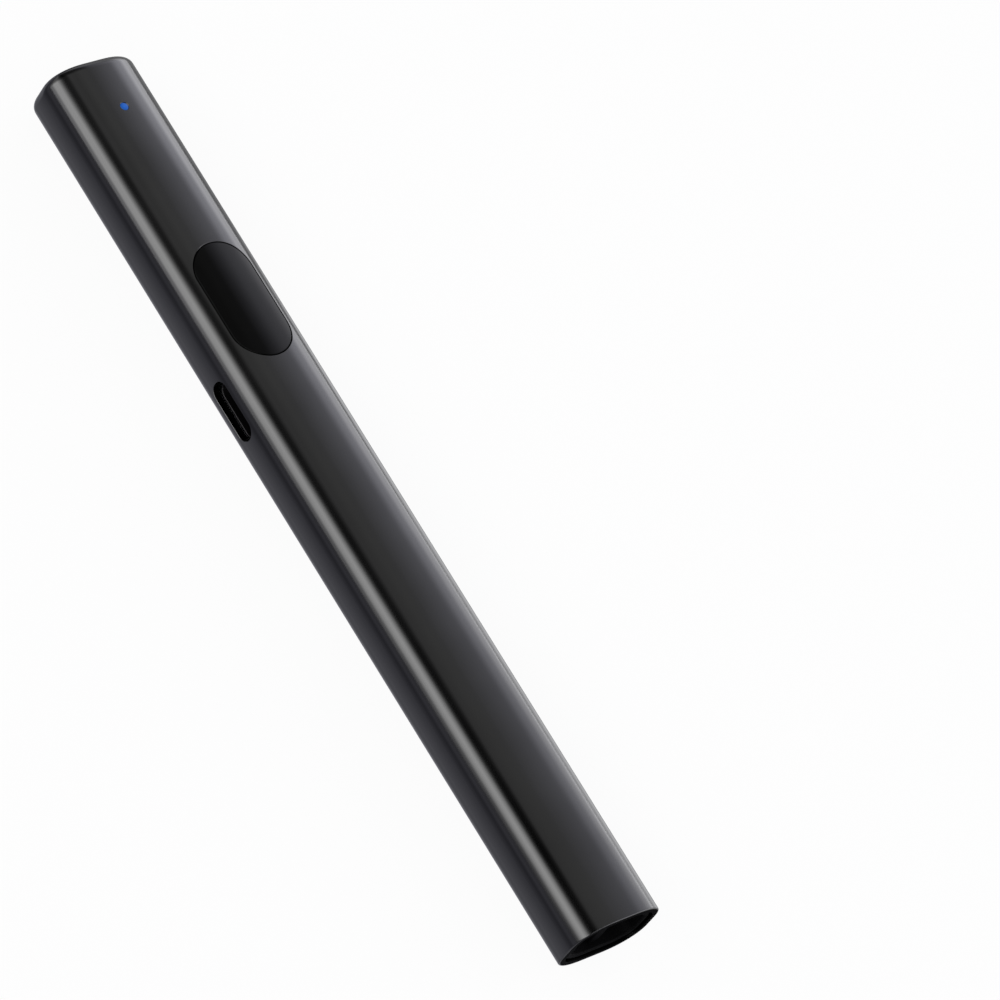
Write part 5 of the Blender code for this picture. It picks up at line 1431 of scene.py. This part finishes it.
@dataclass
class Studio:
    """The white floor, the room's light and the camera. Lengths are in metres, but for the lens."""

    floor_side: float = 3.0
    floor_drop: float = 0.00002
    floor_white: str = "#f4f4f4"
    floor_glow: float = 0.94
    lens: float = 217.8
    distance: float = 0.80179
    # How the object is turned to the camera, as roll, pitch and yaw in radians
    turns: tuple[float, float, float] = (0.6924, 0.2923, 2.1312)
    aim: tuple[float, float] = (-0.02154, 0.000286)
    pivot_height: float = 0.0054
    # Past the front's levels the room falls off: from and to these X parts, down to this share
    fade: tuple[float, float, float] = (0.42, 0.75, 0.25)

    def build(self) -> None:
        """Sets up floor, room and camera."""
        self.build_floor()
        self.build_room()
        self.build_camera()

    @staticmethod
    def rays(tree: Tree) -> tuple[Socket, Socket]:
        """Tells the kinds of ray apart.

        Args:
            tree: the node tree.

        Returns:
            1 for a ray straight to the camera or through glass, and 1 for a mirrored ray.
        """
        path = add_node(tree, "LightPath").outputs
        straight = add_node(
            tree, "Math", {"operation": "ADD", "use_clamp": True},
            {0: path["Is Camera Ray"], 1: path["Is Transmission Ray"]},
        )
        return straight.outputs[0], path["Is Glossy Ray"]

    def build_floor(self) -> None:
        """Lays the floor, which shows white and keeps a faint shadow. Mirrored rays see painted
        light and shade on it.
        """
        shape = bmesh.new()
        bmesh.ops.create_grid(shape, x_segments=1, y_segments=1, size=self.floor_side / 2)
        bmesh.ops.translate(shape, vec=(0, 0, -self.floor_drop), verts=shape.verts[:])
        mesh = to_mesh(shape, "floor")
        floor = put_in_scene("floor", mesh)
        paper = bpy.data.materials.new("white_paper")
        mesh.materials.append(paper)
        tree = cleared(paper)
        place = add_node(tree, "TexCoord").outputs["Object"]
        parts = add_node(tree, "SeparateXYZ", {}, {0: place}).outputs
        # Painted light and shade in bands across the floor, shown to mirrored rays only
        seen = FLOOR_PAINTED_BANDS.seen(tree, parts["Y"], parts["X"])
        straight, glossy = self.rays(tree)
        shown = add_node(tree, "Mix", {"data_type": "RGBA", 6: FLOOR_PAINTED_BANDS.white}, {0: glossy, 7: seen})
        share = add_node(
            tree, "Math", {"operation": "MULTIPLY_ADD", 1: self.floor_glow, "use_clamp": True},
            {0: straight, 2: glossy},
        )
        dull = add_node(tree, "BsdfDiffuse", {"Color": linear(self.floor_white)})
        glow = add_node(tree, "Emission", {"Strength": FLOOR_PAINTED_BANDS.brightest}, {0: shown.outputs[2]})
        links = {0: share.outputs[0], 1: dull.outputs[0], 2: glow.outputs[0]}
        mixed = add_node(tree, "MixShader", {}, links)
        add_node(tree, "OutputMaterial", {}, {"Surface": mixed.outputs[0]})

    def build_room(self) -> None:
        """Makes the room, which is white to the camera and falls off past the front."""
        world = bpy.data.worlds.new("room")
        bpy.context.scene.world = world
        tree = cleared(world)
        way = add_node(tree, "TexCoord").outputs["Generated"]
        parts = add_node(tree, "SeparateXYZ", {}, {0: way}).outputs
        angle = add_node(tree, "Math", {"operation": "ARCTAN2"}, {0: parts["Z"], 1: parts["Y"]})
        seen = ROOM.seen(tree, angle.outputs[0], parts["X"])
        near, far, share = self.fade
        reach = {"From Min": near, "From Max": far, "To Min": 1.0, "To Max": share}
        fade = add_node(tree, "MapRange", reach, {"Value": parts["X"]}).outputs[0]
        room = add_node(tree, "VectorMath", {"operation": "SCALE"}, {0: seen, "Scale": fade})
        links = {0: self.rays(tree)[0], 6: room.outputs[0]}
        shown = add_node(tree, "Mix", {"data_type": "RGBA", 7: ROOM.white}, links)
        light = add_node(tree, "Background", {"Strength": ROOM.brightest}, {0: shown.outputs[2]})
        add_node(tree, "OutputWorld", {}, {"Surface": light.outputs[0]})

    def build_camera(self) -> None:
        """Sets the camera at the photograph's angle."""
        roll, pitch, yaw = self.turns
        turn = Matrix.Rotation(yaw, 3, "Z") @ Matrix.Rotation(pitch, 3, "Y")
        turn = (turn @ Matrix.Rotation(roll, 3, "X")).transposed()
        shift = Vector((*self.aim, -self.distance))
        place = turn @ -shift + Vector((0, 0, self.pivot_height))
        lens = bpy.data.cameras.new("camera")
        lens.lens = self.lens
        camera = put_in_scene("camera", lens)
        camera.matrix_world = Matrix.Translation(place) @ turn.to_4x4()
        bpy.context.scene.camera = camera


def main() -> None:
    """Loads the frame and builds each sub-assembly in order."""
    logging.basicConfig(level=logging.INFO, format="%(message)s")
    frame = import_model()
    bpy.context.scene.view_settings.view_transform = "Standard"
    tube = BodyTube(TubeSection())
    tube.build()
    for part in (ThumbButton, SnapDome, StatusLight, ChargingPort, FrontEnd, StoredReceiver):
        part(tube).build()
    Inside(frame["nodes"]).dress()
    Studio().build()


if __name__ == "__main__":
    main()
